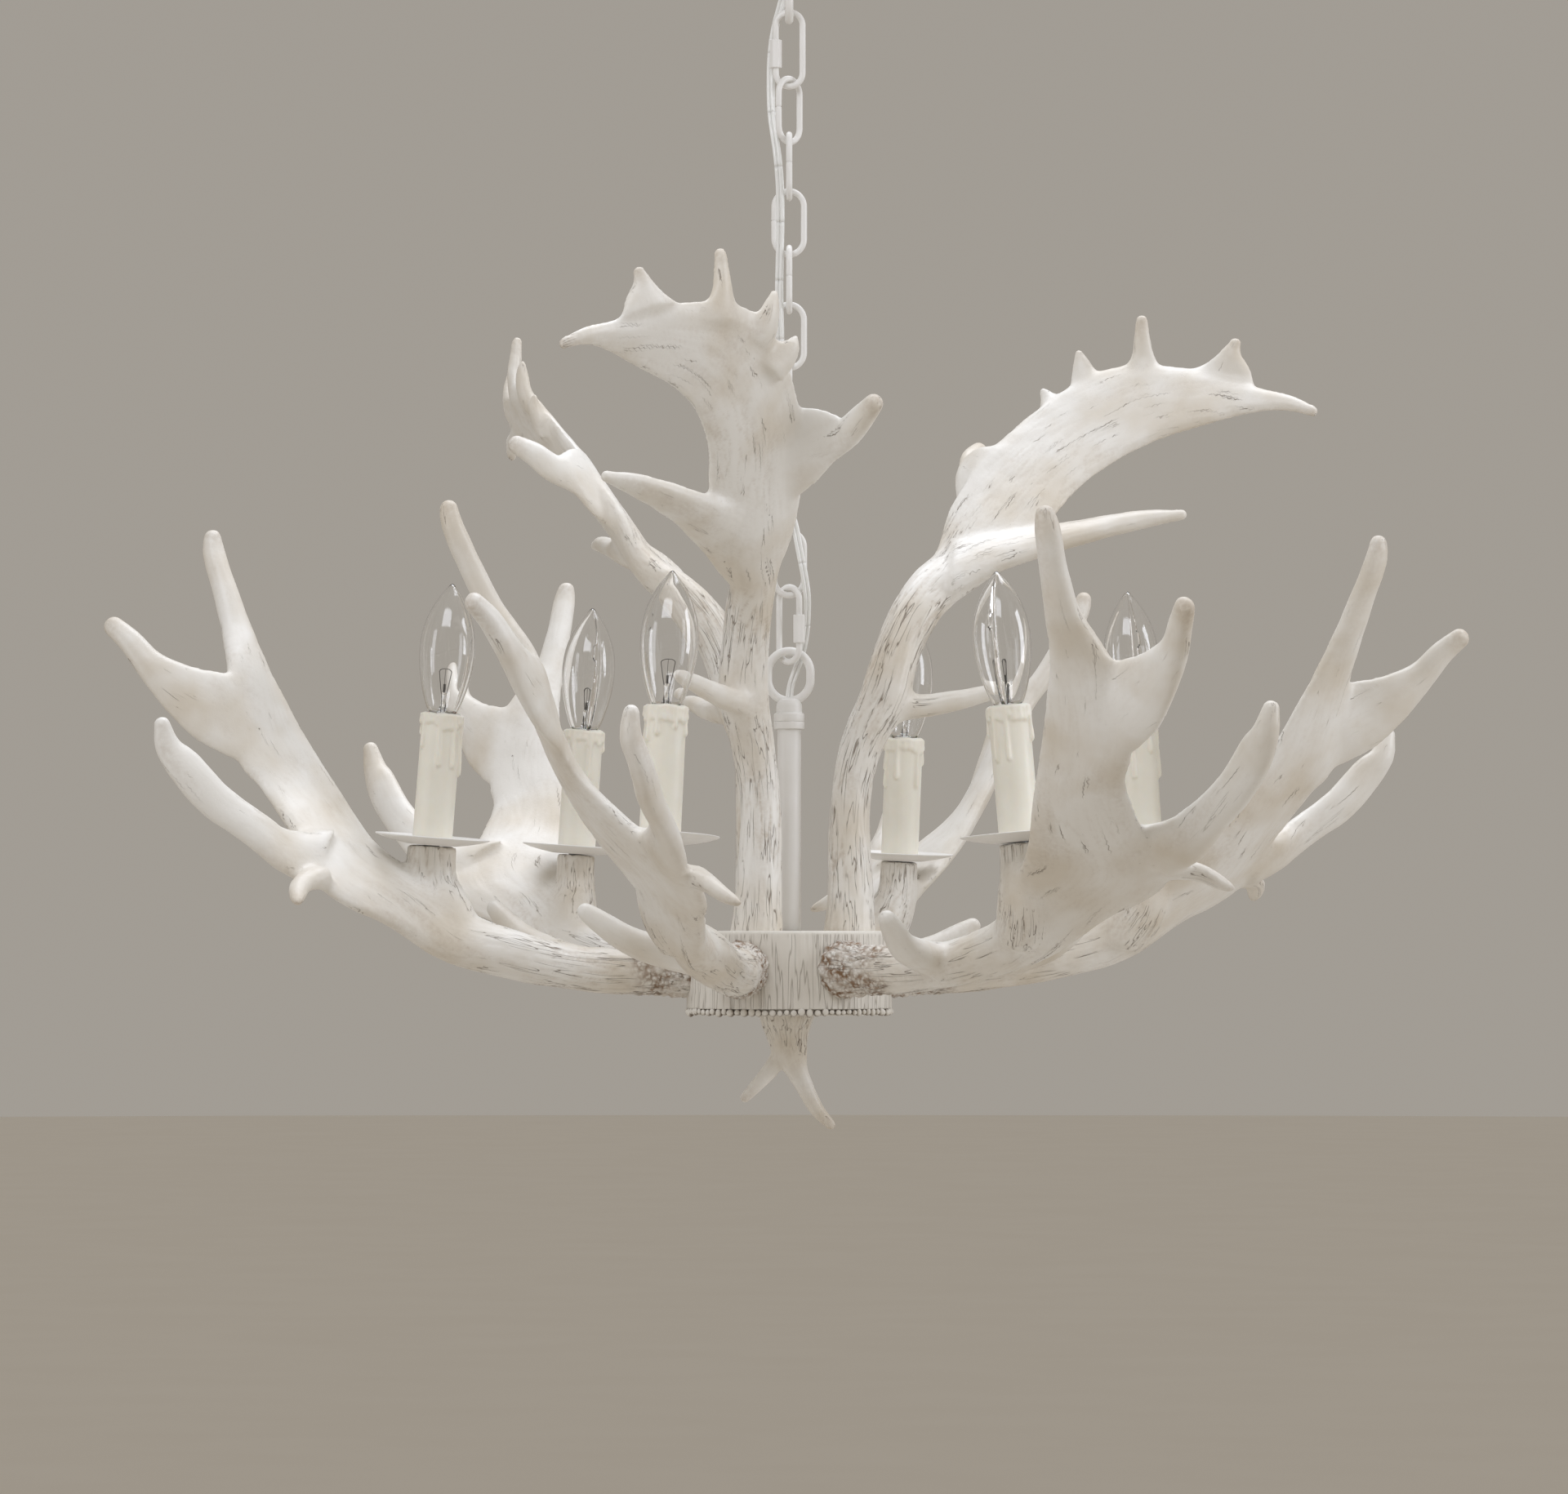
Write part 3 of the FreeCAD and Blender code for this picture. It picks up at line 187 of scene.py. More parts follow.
# %% [markdown]
# ## Painted steel and the rest
# Chain, stem, loops and pans are steel with a satin off-white enamel. Enamel from a spray gun
# dries with a faint orange-peel texture, about 1.5 mm from hill to hill. The drum is painted
# resin like the antlers, only greyer. The candle covers are ivory plastic made to look like wax,
# so a little light passes under their skin.

# %% Paint, wax, glass and metals
paint_finish, tree, shader = start_finish("steel_satin_enamel", IOR=1.5, Coat_Weight=0.15,
                                          Coat_Roughness=0.25)
place = add(tree, "TexCoord", {})["Object"]
peel = add(tree, "TexNoise", {"Vector": place, "Scale": 1 / 0.0015, "Detail": 1.0})[0]
bumped = add(tree, "Bump", {"Height": peel, "Strength": 0.12, "Distance": 0.0002})[0]
tree.links.new(bumped, shader.inputs["Normal"])
handled = add(tree, "TexNoise", {"Vector": place, "Scale": 1 / 0.02, "Detail": 3.0})[0]
tone = add(tree, "Mix", {0: handled, 6: swatch("F4F3F1"), 7: swatch("EAE8E4")},
           data_type="RGBA")[2]
tree.links.new(tone, shader.inputs["Base Color"])
sheen = add(tree, "MapRange", {0: handled, 1: 0.3, 2: 0.7, 3: 0.32, 4: 0.45})[0]
tree.links.new(sheen, shader.inputs["Roughness"])

drum_finish, tree, shader = start_finish("drum_resin_bark_paint", IOR=1.49)
place = add(tree, "TexCoord", {})["Object"]
bark_side = add(tree, "Attribute", {}, attribute_name="bark_side")[2]
clouds = add(tree, "TexNoise", {"Vector": place, "Scale": 1 / 0.03, "Detail": 3.0})[0]
pale = add(tree, "Mix", {0: clouds, 6: swatch("EDEAE3"), 7: swatch("E0DBD1")},
           data_type="RGBA")[2]
# The drum stands on the axis, so a noise stretched upright gives upright grooves 3 mm apart.
upright = add(tree, "VectorMath", {0: place, 1: (1 / 0.003, 1 / 0.003, 1 / 0.05)},
              operation="MULTIPLY")[0]
fibre = add(tree, "TexNoise", {"Vector": upright, "Scale": 1.0, "Detail": 1.0})[0]
offset = add(tree, "Math", {0: fibre, 1: 0.5}, operation="SUBTRACT")[0]
distance = add(tree, "Math", {0: offset}, operation="ABSOLUTE")[0]
line = add(tree, "MapRange", {0: distance, 1: 0.003, 2: 0.032, 3: 1.0, 4: 0.0})[0]
groove = add(tree, "Math", {0: line, 1: bark_side}, operation="MULTIPLY")[0]
groove_share = add(tree, "Math", {0: groove, 1: 0.5}, operation="MULTIPLY")[0]
grooved = add(tree, "Mix", {0: groove_share, 6: pale, 7: swatch("8C8172")},
              data_type="RGBA")[2]
# Between the beads of the bottom plate and on the sides of each bead the colour darkens: partly
# wash that collected there, partly painted shade. The mesh says where that is.
bead_wash_and_shade = add(tree, "Attribute", {}, attribute_name="bead_wash_and_shade")[2]
washed_and_shaded = add(tree, "Mix", {0: bead_wash_and_shade, 6: grooved, 7: swatch("6F6253")}, data_type="RGBA")[2]
tree.links.new(washed_and_shaded, shader.inputs["Base Color"])
rough = add(tree, "MapRange", {0: clouds, 1: 0.3, 2: 0.7, 3: 0.45, 4: 0.6})[0]
tree.links.new(rough, shader.inputs["Roughness"])
grit = add(tree, "TexNoise", {"Vector": place, "Scale": 1 / 0.0011, "Detail": 2.0})[0]
with_grit = add(tree, "Math", {0: grit, 1: 0.2, 2: 1.0}, operation="MULTIPLY_ADD")[0]
relief = add(tree, "Math", {0: with_grit, 1: groove}, operation="SUBTRACT")[0]
bumped = add(tree, "Bump", {"Height": relief, "Strength": 0.7, "Distance": 0.0005})[0]
tree.links.new(bumped, shader.inputs["Normal"])

wax_finish, tree, shader = start_finish("candle_cover_ivory_wax", IOR=1.45, Subsurface_Weight=0.2,
                                        Subsurface_Scale=0.003)
shader.inputs["Subsurface Radius"].default_value = (1.0, 0.7, 0.45)
place = add(tree, "TexCoord", {})["Object"]
clouds = add(tree, "TexNoise", {"Vector": place, "Scale": 1 / 0.014, "Detail": 3.0})[0]
tone = add(tree, "Mix", {0: clouds, 6: swatch("F3F0E6"), 7: swatch("EBE6D8")},
           data_type="RGBA")[2]
tree.links.new(tone, shader.inputs["Base Color"])
rough = add(tree, "MapRange", {0: clouds, 1: 0.3, 2: 0.7, 3: 0.36, 4: 0.52})[0]
tree.links.new(rough, shader.inputs["Roughness"])
skin = add(tree, "TexNoise", {"Vector": place, "Scale": 1 / 0.003, "Detail": 2.0})[0]
bumped = add(tree, "Bump", {"Height": skin, "Strength": 0.15, "Distance": 0.0003})[0]
tree.links.new(bumped, shader.inputs["Normal"])

# Blown lamp glass: soda-lime, clear, with a polish that only the fire gives.
glass_finish, tree, shader = start_finish("lamp_glass_clear", IOR=1.5, Roughness=0.0,
                                          Transmission_Weight=1.0)
shader.inputs["Base Color"].default_value = swatch("FFFFFF")

# Soft PVC round the cord's two conductors. The real one is clear. This one lets little light
# through, so that the ends of its spans show less. They still show as faint lines.
pvc_finish, tree, shader = start_finish("cord_clear_pvc", IOR=1.53, Roughness=0.1,
                                        Transmission_Weight=0.05)
place = add(tree, "TexCoord", {})["Object"]
haze = add(tree, "TexNoise", {"Vector": place, "Scale": 1 / 0.01, "Detail": 2.0})[0]
tone = add(tree, "Mix", {0: haze, 6: swatch("FBFBF9"), 7: swatch("F0F0EC")},
           data_type="RGBA")[2]
tree.links.new(tone, shader.inputs["Base Color"])


def brushed_metal(name, bright, dull, low, high, grain_mm):
    """A bare metal whose tone and polish vary over a few millimetres."""
    material, tree, shader = start_finish(name, Metallic=1.0)
    place = add(tree, "TexCoord", {})["Object"]
    worn = add(tree, "TexNoise", {"Vector": place, "Scale": 1 / (grain_mm * MM),
                                  "Detail": 3.0})[0]
    tone = add(tree, "Mix", {0: worn, 6: swatch(bright), 7: swatch(dull)}, data_type="RGBA")[2]
    tree.links.new(tone, shader.inputs["Base Color"])
    rough = add(tree, "MapRange", {0: worn, 1: 0.3, 2: 0.7, 3: low, 4: high})[0]
    tree.links.new(rough, shader.inputs["Roughness"])
    return material


def moulded_plastic(name, light, dark, roughness, grain_mm):
    """A moulded plastic with a fine texture from its tool."""
    material, tree, shader = start_finish(name, IOR=1.5, Roughness=roughness)
    place = add(tree, "TexCoord", {})["Object"]
    mottle = add(tree, "TexNoise", {"Vector": place, "Scale": 1 / (grain_mm * MM),
                                    "Detail": 2.0})[0]
    tone = add(tree, "Mix", {0: mottle, 6: swatch(light), 7: swatch(dark)},
               data_type="RGBA")[2]
    tree.links.new(tone, shader.inputs["Base Color"])
    bumped = add(tree, "Bump", {"Height": mottle, "Strength": 0.2, "Distance": 0.0001})[0]
    tree.links.new(bumped, shader.inputs["Normal"])
    return material


zinc_finish = brushed_metal("zinc_plated_steel", "C9CBCC", "A9ABAB", 0.32, 0.5, 3)
nickel_finish = brushed_metal("nickel_plated_brass", "D8D2C4", "B9B19F", 0.2, 0.35, 2)
copper_finish = brushed_metal("tinned_copper_strand", "F2F0EC", "D9D0C2", 0.22, 0.35, 1)
tungsten_finish = brushed_metal("tungsten_wire", "6E6C69", "4C4A48", 0.35, 0.5, 0.5)
socket_finish = moulded_plastic("socket_phenolic", "F0EDE6", "DFDBD2", 0.5, 0.8)
connector_finish = moulded_plastic("connector_polypropylene", "C8702E", "B5622A", 0.45, 0.8)
sheath_finish = moulded_plastic("branch_wire_pvc", "EDEBE6", "D9D6CF", 0.4, 0.6)
# A near-black finish for painted shade in gaps and slits, with a little dirt.
shadow_gap_finish = moulded_plastic("shadow_gap_dirt", "453F38", "35302A", 0.9, 0.5)
print("finishes:", len(bpy.data.materials))

# %% [markdown]
# ## Places
# The castings are all made once, in the coordinates of their pattern, and then set on the drum.
# Each one settled a little differently when it was bolted on, and these few degrees are what
# keeps the real chandelier from looking like a machine part. They were fitted to the photograph
# and rounded to half a degree, and so was the axis of the candles, to a tenth of a millimetre.

# %% Where the castings and the candles stand: turn, twist, tilt and roll in degrees
DRUM_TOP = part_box("hub_shell")[1].z
DRUM_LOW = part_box("hub_bottom_plate")[0].z
LOWER_SEATS = [(0, -1.5, -0.5, 0), (60, 3.5, 2, 1.5), (120, -1, 0.5, 1.5),
               (180, 0.5, -1.5, -3.5), (240, 0, -0.5, -2.5), (300, -1.5, 0, 2.5)]
UPPER_SEATS = [(0, 1, 0, -0.5), (120, -2.5, 1.5, 0), (240, 1.5, -1.5, 0.5)]
CANDLE_FOOT = Vector((226.5, 37.2, 52)) * MM
CANDLE_TOP = Vector((217.8, 32.9, 214.5)) * MM
LOWER_PIVOT, UPPER_PIVOT = (60, 0, -30), (37, 0, 0)


def cast_place(seat, pivot):
    """The matrix that sets a casting on the drum."""
    turn, twist, tilt, roll = seat
    own = (Matrix.Rotation(math.radians(tilt), 4, "Y")
           @ Matrix.Rotation(math.radians(roll), 4, "X")
           @ Matrix.Rotation(math.radians(twist), 4, "Z"))
    centre = Vector(pivot) * MM
    drum = Matrix.Translation((0, 0, DRUM_TOP)) @ Matrix.Rotation(math.radians(turn), 4, "Z")
    return drum @ Matrix.Translation(centre) @ own @ Matrix.Translation(-centre)


lower_places = [cast_place(seat, LOWER_PIVOT) for seat in LOWER_SEATS]
upper_places = [cast_place(seat, UPPER_PIVOT) for seat in UPPER_SEATS]
candle_up = Vector((0, 0, 1)).rotation_difference(CANDLE_TOP - CANDLE_FOOT)
on_cast = Matrix.Translation(CANDLE_FOOT) @ candle_up.to_matrix().to_4x4()
candle_places = [place @ on_cast for place in lower_places]
print("drum top at", round(DRUM_TOP, 4), "and", len(candle_places), "candles")

# %% [markdown]
# ## How pieces are made and kept
# A piece is one object at the origin with its place in its mesh. Most pieces start in a bmesh,
# in metres, and one function hangs the finished mesh on its CAD body and hides the solid that it
# stands for.

# %% Helpers for pieces
def meshed(name, bm):
    """The mesh of a bmesh, which is freed."""
    mesh = bpy.data.meshes.new(name)
    bm.to_mesh(mesh)
    bm.free()
    return mesh


def to_piece(name, bm, body, finishes, replaced=(), flat=False):
    """Turns a bmesh into a piece that rides on a body in place of CAD nodes."""
    return hang(name, meshed(name, bm), body, finishes, replaced, flat)


def hang(name, mesh, body, finishes, replaced=(), flat=False):
    """Makes the object of a finished mesh and lets it ride on its CAD body."""
    mesh.polygons.foreach_set("use_smooth", [not flat] * len(mesh.polygons))
    mesh.materials.clear()
    for finish in finishes:
        mesh.materials.append(finish)
    made = bpy.data.objects.new(name, mesh)
    scene.collection.objects.link(made)
    if body:
        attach(made, body)
    if replaced:
        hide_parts(*replaced)
    return made


def spun(profile, steps=96, closed=True):
    """A bmesh spun about Z from (radius, height) pairs in millimetres."""
    bm = bmesh.new()
    verts = [bm.verts.new((r * MM, 0, z * MM)) for r, z in profile]
    ends = verts[1:] + verts[:1] if closed else verts[1:]
    edges = [bm.edges.new(pair) for pair in zip(verts, ends)]
    bmesh.ops.spin(bm, geom=verts + edges, cent=(0, 0, 0), axis=(0, 0, 1), angle=math.tau,
                   steps=steps, use_merge=True)
    bmesh.ops.remove_doubles(bm, verts=bm.verts, dist=1e-6)
    bmesh.ops.recalc_face_normals(bm, faces=bm.faces)
    return bm


def eased(bm, width, angle=30, segments=2):
    """Rounds every edge sharper than the angle by a bevel of this width in millimetres."""
    sharp = [e for e in bm.edges
             if len(e.link_faces) == 2 and e.calc_face_angle(0) > math.radians(angle)]
    bmesh.ops.bevel(bm, geom=sharp, offset=width * MM, offset_type="OFFSET", segments=segments,
                    profile=0.5, affect="EDGES", material=-1, clamp_overlap=True)
    return bm


def set_down(bm, *places):
    """Copies of a bmesh at several places, in one bmesh."""
    source = meshed("pattern", bm)
    together = bmesh.new()
    for place in places:
        copy = source.copy()
        copy.transform(place)
        together.from_mesh(copy)
        bpy.data.meshes.remove(copy)
    bpy.data.meshes.remove(source)
    return together


def joined(*parts):
    """Several bmeshes as one."""
    together = bmesh.new()
    for part in parts:
        mesh = meshed("part", part)
        together.from_mesh(mesh)
        bpy.data.meshes.remove(mesh)
    return together


def at(height, x=0.0, y=0.0):
    """A place straight on the chandelier's axis or beside it, in metres."""
    return Matrix.Translation((x, y, height))


# %% [markdown]
# ## Limbs
# A tine is described as a woodcarver would: at a few stations, the two edges of its section and
# half its thickness, in millimetres. A smooth curve runs through the stations, a ring of points
# stands at every few millimetres of it, and the rings are bridged. Many limbs that run into each
# other become one skin by a voxel remesh, which is what clay does under a thumb.

# %% Sections, rings and one skin
# Past its last station a free end closes in these steps: how far, as a share of its half
# thickness, and the share of the section that is left there.
TIP_STEPS = ((0.35, 0.94), (0.65, 0.77), (0.87, 0.5), (0.97, 0.25))


def between(before, start, end, after, share):
    """A point on the smooth curve from start to end, given its neighbours on either side."""
    slope = (end - before) * 0.5
    curve = before - start * 2.5 + end * 2 - after * 0.5
    last = (start - end) * 1.5 + (after - before) * 0.5
    return start + slope * share + curve * share ** 2 + last * share ** 3


def knots_of(stations):
    """Each station as its centre, half width and half thickness vectors, and its heading."""
    centres = [(Vector(a) + Vector(b)) / 2 if isinstance(b, tuple) else Vector(a)
               for a, b, _ in stations]
    flats = [i for i, station in enumerate(stations) if isinstance(station[1], tuple)]
    last = len(stations) - 1
    knots = []
    for i, (a, b, thick) in enumerate(stations):
        ahead = (centres[min(i + 1, last)] - centres[max(i - 1, 0)]).normalized()
        if isinstance(b, tuple):
            wide = Vector(b) - Vector(a)
            half_width = wide.length / 2
        else:
            half_width = b
            if flats:
                near = stations[min(flats, key=lambda k: abs(k - i))]
                wide = Vector(near[1]) - Vector(near[0])
            else:
                wide = Vector((1, 0, 0)) if abs(ahead.x) < 0.8 else Vector((0, 1, 0))
            wide = wide - ahead * wide.dot(ahead)
        wide.normalize()
        ahead = (ahead - wide * ahead.dot(wide)).normalized()
        knots.append((centres[i], wide * half_width, ahead.cross(wide) * thick, ahead))
    return knots


def sections_of(stations, step=4.0, rounded=True):
    """Closely spaced sections along a limb, the free end rounded off."""
    knots = knots_of(stations)
    last = len(knots) - 1
    sections = []
    for i in range(last):
        near = [knots[max(i - 1, 0)], knots[i], knots[i + 1], knots[min(i + 2, last)]]
        count = max(1, round((near[2][0] - near[1][0]).length / step))
        for k in range(count):
            sections.append([between(*[knot[part] for knot in near], k / count)
                             for part in range(3)])
    centre, across, through, ahead = knots[-1]
    sections.append([centre, across, through])
    if rounded:
        for reach, share in TIP_STEPS:
            sections.append([centre + ahead * (through.length * reach), across * share,
                             through * share])
    return sections


def add_limb(bm, sections, points=18):
    """Bridges a ring of points at every section and closes both ends."""
    rings = []
    for centre, across, through in sections:
        ahead = across.cross(through).normalized()
        turn = Matrix((across * MM, through * MM, ahead)).transposed().to_4x4()
        turn.translation = centre * MM
        ring = bmesh.ops.create_circle(bm, segments=points, radius=1.0, matrix=turn)["verts"]
        rings.append(list({e for v in ring for e in v.link_edges}))
    for low, high in zip(rings, rings[1:]):
        bmesh.ops.bridge_loops(bm, edges=low + high)
    for end in (rings[0], rings[-1]):
        bmesh.ops.contextual_create(bm, geom=end)


def one_skin(bm, voxel_mm, smoothing=4):
    """The union of everything in a bmesh as one even skin."""
    bmesh.ops.recalc_face_normals(bm, faces=bm.faces)
    rough = meshed("rough", bm)
    holder = bpy.data.objects.new("holder", rough)
    scene.collection.objects.link(holder)
    union = holder.modifiers.new("union", "REMESH")
    union.mode = "VOXEL"
    union.voxel_size = voxel_mm * MM
    soften = holder.modifiers.new("soften", "SMOOTH")
    soften.iterations = smoothing
    made = bpy.data.meshes.new_from_object(
        holder.evaluated_get(bpy.context.evaluated_depsgraph_get()))
    bpy.data.objects.remove(holder)
    bpy.data.meshes.remove(rough)
    return made


# %% [markdown]
# ## The antlers' stations
# A lower casting is an arm that rises from the drum into a palm with an outer and a side tine,
# and a short stub for the candle. An upper casting is a beam that opens into a broad palm with
# four rim tines. The first number of a station points outwards, the second along the rim and
# the third up. They were set over several rounds, with the fitted points of the photograph in
# view, so they aren't independent of that fit.

# %% Stations of both castings
LOWER_LIMBS = {
    "arm": [((58, 0, -24), 17, 17), ((66, 3, -24), 18, 18), ((84, 11, -25), 15.5, 15.5),
            ((110, 23, -25), 15, 15), ((142, 34, -22), 14.5, 14.5), ((182, 45, -13), 16, 16),
            ((205, 34, 10), (218, 66, -16), 13), ((236, 27, 32), (250, 84, 5), 10),
            ((260, 21, 48), (289, 104, 26), 8.8), ((274, 16, 64), (317, 65, 65), 8),
            ((286, 12, 82), (334, 47, 86), 7.5), ((309, 6, 116), (353, 42, 108), 7),
            ((334, -3, 158), (358, 27, 156), 7), ((349, -14, 188), (364, 2, 184), 7.2),
            ((366, -17, 212), 8.5, 7), ((373, -24, 232), 7.8, 6.5), ((374, -26, 241), 6, 5.5)],
    "outer_tine": [((338, 16, 146), (352, 44, 102), 6), ((358, 28, 157), (374, 44, 113), 6.6),
                   ((379, 33, 160), (395, 43, 133), 7), ((405, 38.5, 160), 10, 7),
                   ((419, 35, 175), 8, 6.5), ((430, 31, 184), 6.5, 5.5)],
    "side_tine": [((285, 62, 62), (300, 98, 28), 8), ((312, 78, 60), (316, 110, 38), 8),
                  ((327, 94, 70), (334, 112, 52), 7.5), ((350, 103, 88), (362, 113, 70), 7.5),
                  ((369, 106, 108), (379, 117, 88), 7), ((386, 112, 112), 8.5, 6.5),
                  ((389.5, 114, 125), 5.5, 5)],
    "side_spur": [((290, 98, 34), 10, 8), ((301, 116, 30), 8, 6), ((303, 130, 23), 6, 4.5),
                  ((302, 138, 19.5), 3.8, 3)],
    "inner_spur": [((136, 32, -20), 12, 12), ((150, 10, -16), 10.5, 10.5),
                   ((168, -13, -9), 9, 9), ((183, -29, 3), 7.2, 7.2), ((189, -36, 9), 5.4, 5.4)],
    "candle_stub": [((208, 46, -8), 15, 14), ((215, 44.5, 3), 19.5, 16), ((222.5, 41, 15), 20, 15),
                    ((226.8, 37.8, 29), 17.5, 12.8), ((227, 37.5, 41), 16, 11.8),
                    ((226.5, 37.2, 51.5), 15.5, 11.8)],
}
UPPER_LIMBS = {
    "beam": [((38, -2, -4), 17, 17), ((39, 0, 20), 15, 15), ((38.5, 1, 75), 13, 13),
             ((45, -1, 115), 13.5, 13.5), ((60, 0, 147), 16, 16), ((69, 6, 178), 15, 15),
             ((80, 15, 202), 16, 13.5), ((80, 34, 228), (108, 18, 212), 12),
             ((95, 53, 243), (135, 22, 232), 10.5), ((105, 66, 275), (168, 34, 263), 8),
             ((128, 78, 310), (190, 46, 288), 6.8), ((163, 86, 342), (218, 52, 307), 6),
             ((207, 86, 368), (244, 50, 319), 5.8), ((255, 70, 368), (275, 42, 328), 5.6),
             ((300, 49, 353), (304, 38, 335), 4.8), ((325, 38, 340), 6, 4.2),
             ((338, 32, 334), 4, 3.2)],
    "rim_tine_1": [((262, 68, 366), (303, 50, 352), 5), ((274, 62, 372), (299, 51, 366), 5.2),
                   ((287.5, 56, 375), 7, 4.8), ((290, 55, 381), 4, 3.2)],
    "rim_tine_2": [((212, 84, 356), (252, 68, 356), 5.2), ((223, 82, 374), (241, 76, 373), 5),
                   ((231, 78, 388), 6, 4.6), ((231, 77, 398), 4.2, 3.6)],
    "rim_tine_3": [((186, 86, 344), (212, 78, 354), 5.2), ((184, 91, 356), (205, 87, 364), 5),
                   ((193, 91, 370), 7.5, 4.8), ((191, 92, 379), 3.6, 3)],
    "rim_tine_4": [((170, 86, 326), (194, 80, 340), 5), ((165, 92, 337), (181, 88, 350), 5),
                   ((170, 94, 350), 6, 4.3), ((167, 94, 355), 3, 2.5)],
    "front_tine": [((112, 60, 258), (142, 72, 316), 5.5), ((112, 78, 271), (128, 86, 318), 4.8),
                   ((112, 93, 285), (120, 97, 313), 5), ((119, 105, 302), 9.5, 6.5),
                   ((122, 117, 311), 7.8, 7), ((127, 126, 317), 6.2, 6)],
    "brow_tine": [((108, 46, 250), (104, 10, 214), 10), ((138, 46, 256), (132, 9, 231), 9.5),
                  ((172, 40, 259), (174, 12, 246), 8), ((201, 32, 264), (202, 11, 253.5), 6.5),
                  ((229, 22, 268), (227, 9.5, 259), 5.4), ((251, 11, 266), 3.8, 3.5)],
    "low_tine": [((60, 1, 143), 12, 12), ((84, 3, 143), 8, 8), ((108, 2, 147), 6.5, 6.5),
                 ((130, 0, 152), 5, 5), ((140, -1, 154), 3.2, 3.2)],
}
print("limbs:", len(LOWER_LIMBS), "below and", len(UPPER_LIMBS), "above")

# %% [markdown]
# ## Bark, burrs and wash
# The bark of an antler runs along each limb: long shallow grooves a few millimetres apart, deep
# near the drum and almost gone on the palms. To draw them, each point of the skin gets its
# place along and across the limb it belongs to, and a noise that is stretched along the limb
# makes a groove wherever it passes through zero. Where two limbs meet, the two patterns fade
# into each other and the skin is rubbed smooth. At the drum the casting ends in a burr of
# small brown nubs. Four attributes hand this over to the finish: limb_place is the place on the
# limb, bark how rough it is there, wash how much stain stays on it, and root the burr.

# %% Bark depth along each limb: distance in mm, then depth in mm
BARK = {
    "arm": [(0, 0.85), (90, 0.85), (150, 0.5), (190, 0.22), (600, 0.12)],
    "outer_tine": [(0, 0.15), (200, 0.1)],
    "side_tine": [(0, 0.2), (200, 0.1)],
    "side_spur": [(0, 0.2), (60, 0.1)],
    "inner_spur": [(0, 0.4), (30, 0.3), (60, 0.1)],
    "candle_stub": [(0, 0.6), (20, 0.85), (90, 0.9)],
    "beam": [(0, 0.8), (120, 0.85), (200, 0.75), (280, 0.45), (400, 0.3), (600, 0.2)],
    "brow_tine": [(0, 0.45), (60, 0.25), (150, 0.1)],
    "low_tine": [(0, 0.4), (40, 0.2), (90, 0.1)],
    "front_tine": [(0, 0.25), (40, 0.1)],
    "trunk": [(0, 0.95), (22, 0.7), (34, 0.2), (80, 0.1)],
    "fork": [(0, 0.5), (12, 0.15), (40, 0.1)],
}
BARK.update({"rim_tine_%d" % k: [(0, 0.12), (60, 0.08)] for k in range(1, 5)})


# Rubbing goes on in three passes: the width of the joint in mm, then the number of rounds.
JOINT_RUBS = ((13.0, 8), (8.0, 12), (4.0, 10))
# The patterns of two limbs mix over this distance in mm.
LIMB_BLEND = 4.0
# The wash is thicker on the last millimetres of every tip.
TIP_STAIN = 16


def on_limb(points, sections):
    """Distance from a limb's skin, and places along, across and through it, in mm."""
    centres = np.array([s[0] for s in sections])
    across = np.array([s[1] for s in sections])
    through = np.array([s[2] for s in sections])
    wide = np.linalg.norm(across, axis=1)
    thick = np.linalg.norm(through, axis=1)
    along = np.concatenate([[0], np.cumsum(np.linalg.norm(np.diff(centres, axis=0), axis=1))])
    nearest = np.full(len(points), np.inf)
    place = np.zeros((len(points), 3))
    for i in range(len(sections)):
        a = across[i] / wide[i]
        b = through[i] / thick[i]
        rel = points - centres[i]
        u, x, y = rel @ np.cross(a, b), rel @ a, rel @ b
        skin = (np.hypot(x / wide[i], y / thick[i]) - 1) * min(wide[i], thick[i])
        far = np.hypot(skin, u)
        closer = far < nearest
        nearest = np.where(closer, far, nearest)
        place[closer] = np.column_stack([u + along[i], x, y])[closer]
    return nearest, place


def grain(place, stretch, fine, shift):
    """Noise stretched along a limb, from -1 to 1, for places along, across and through."""
    return np.array([noise.noise(Vector((u / stretch + shift, x / fine, y / fine)))
                     for u, x, y in place])


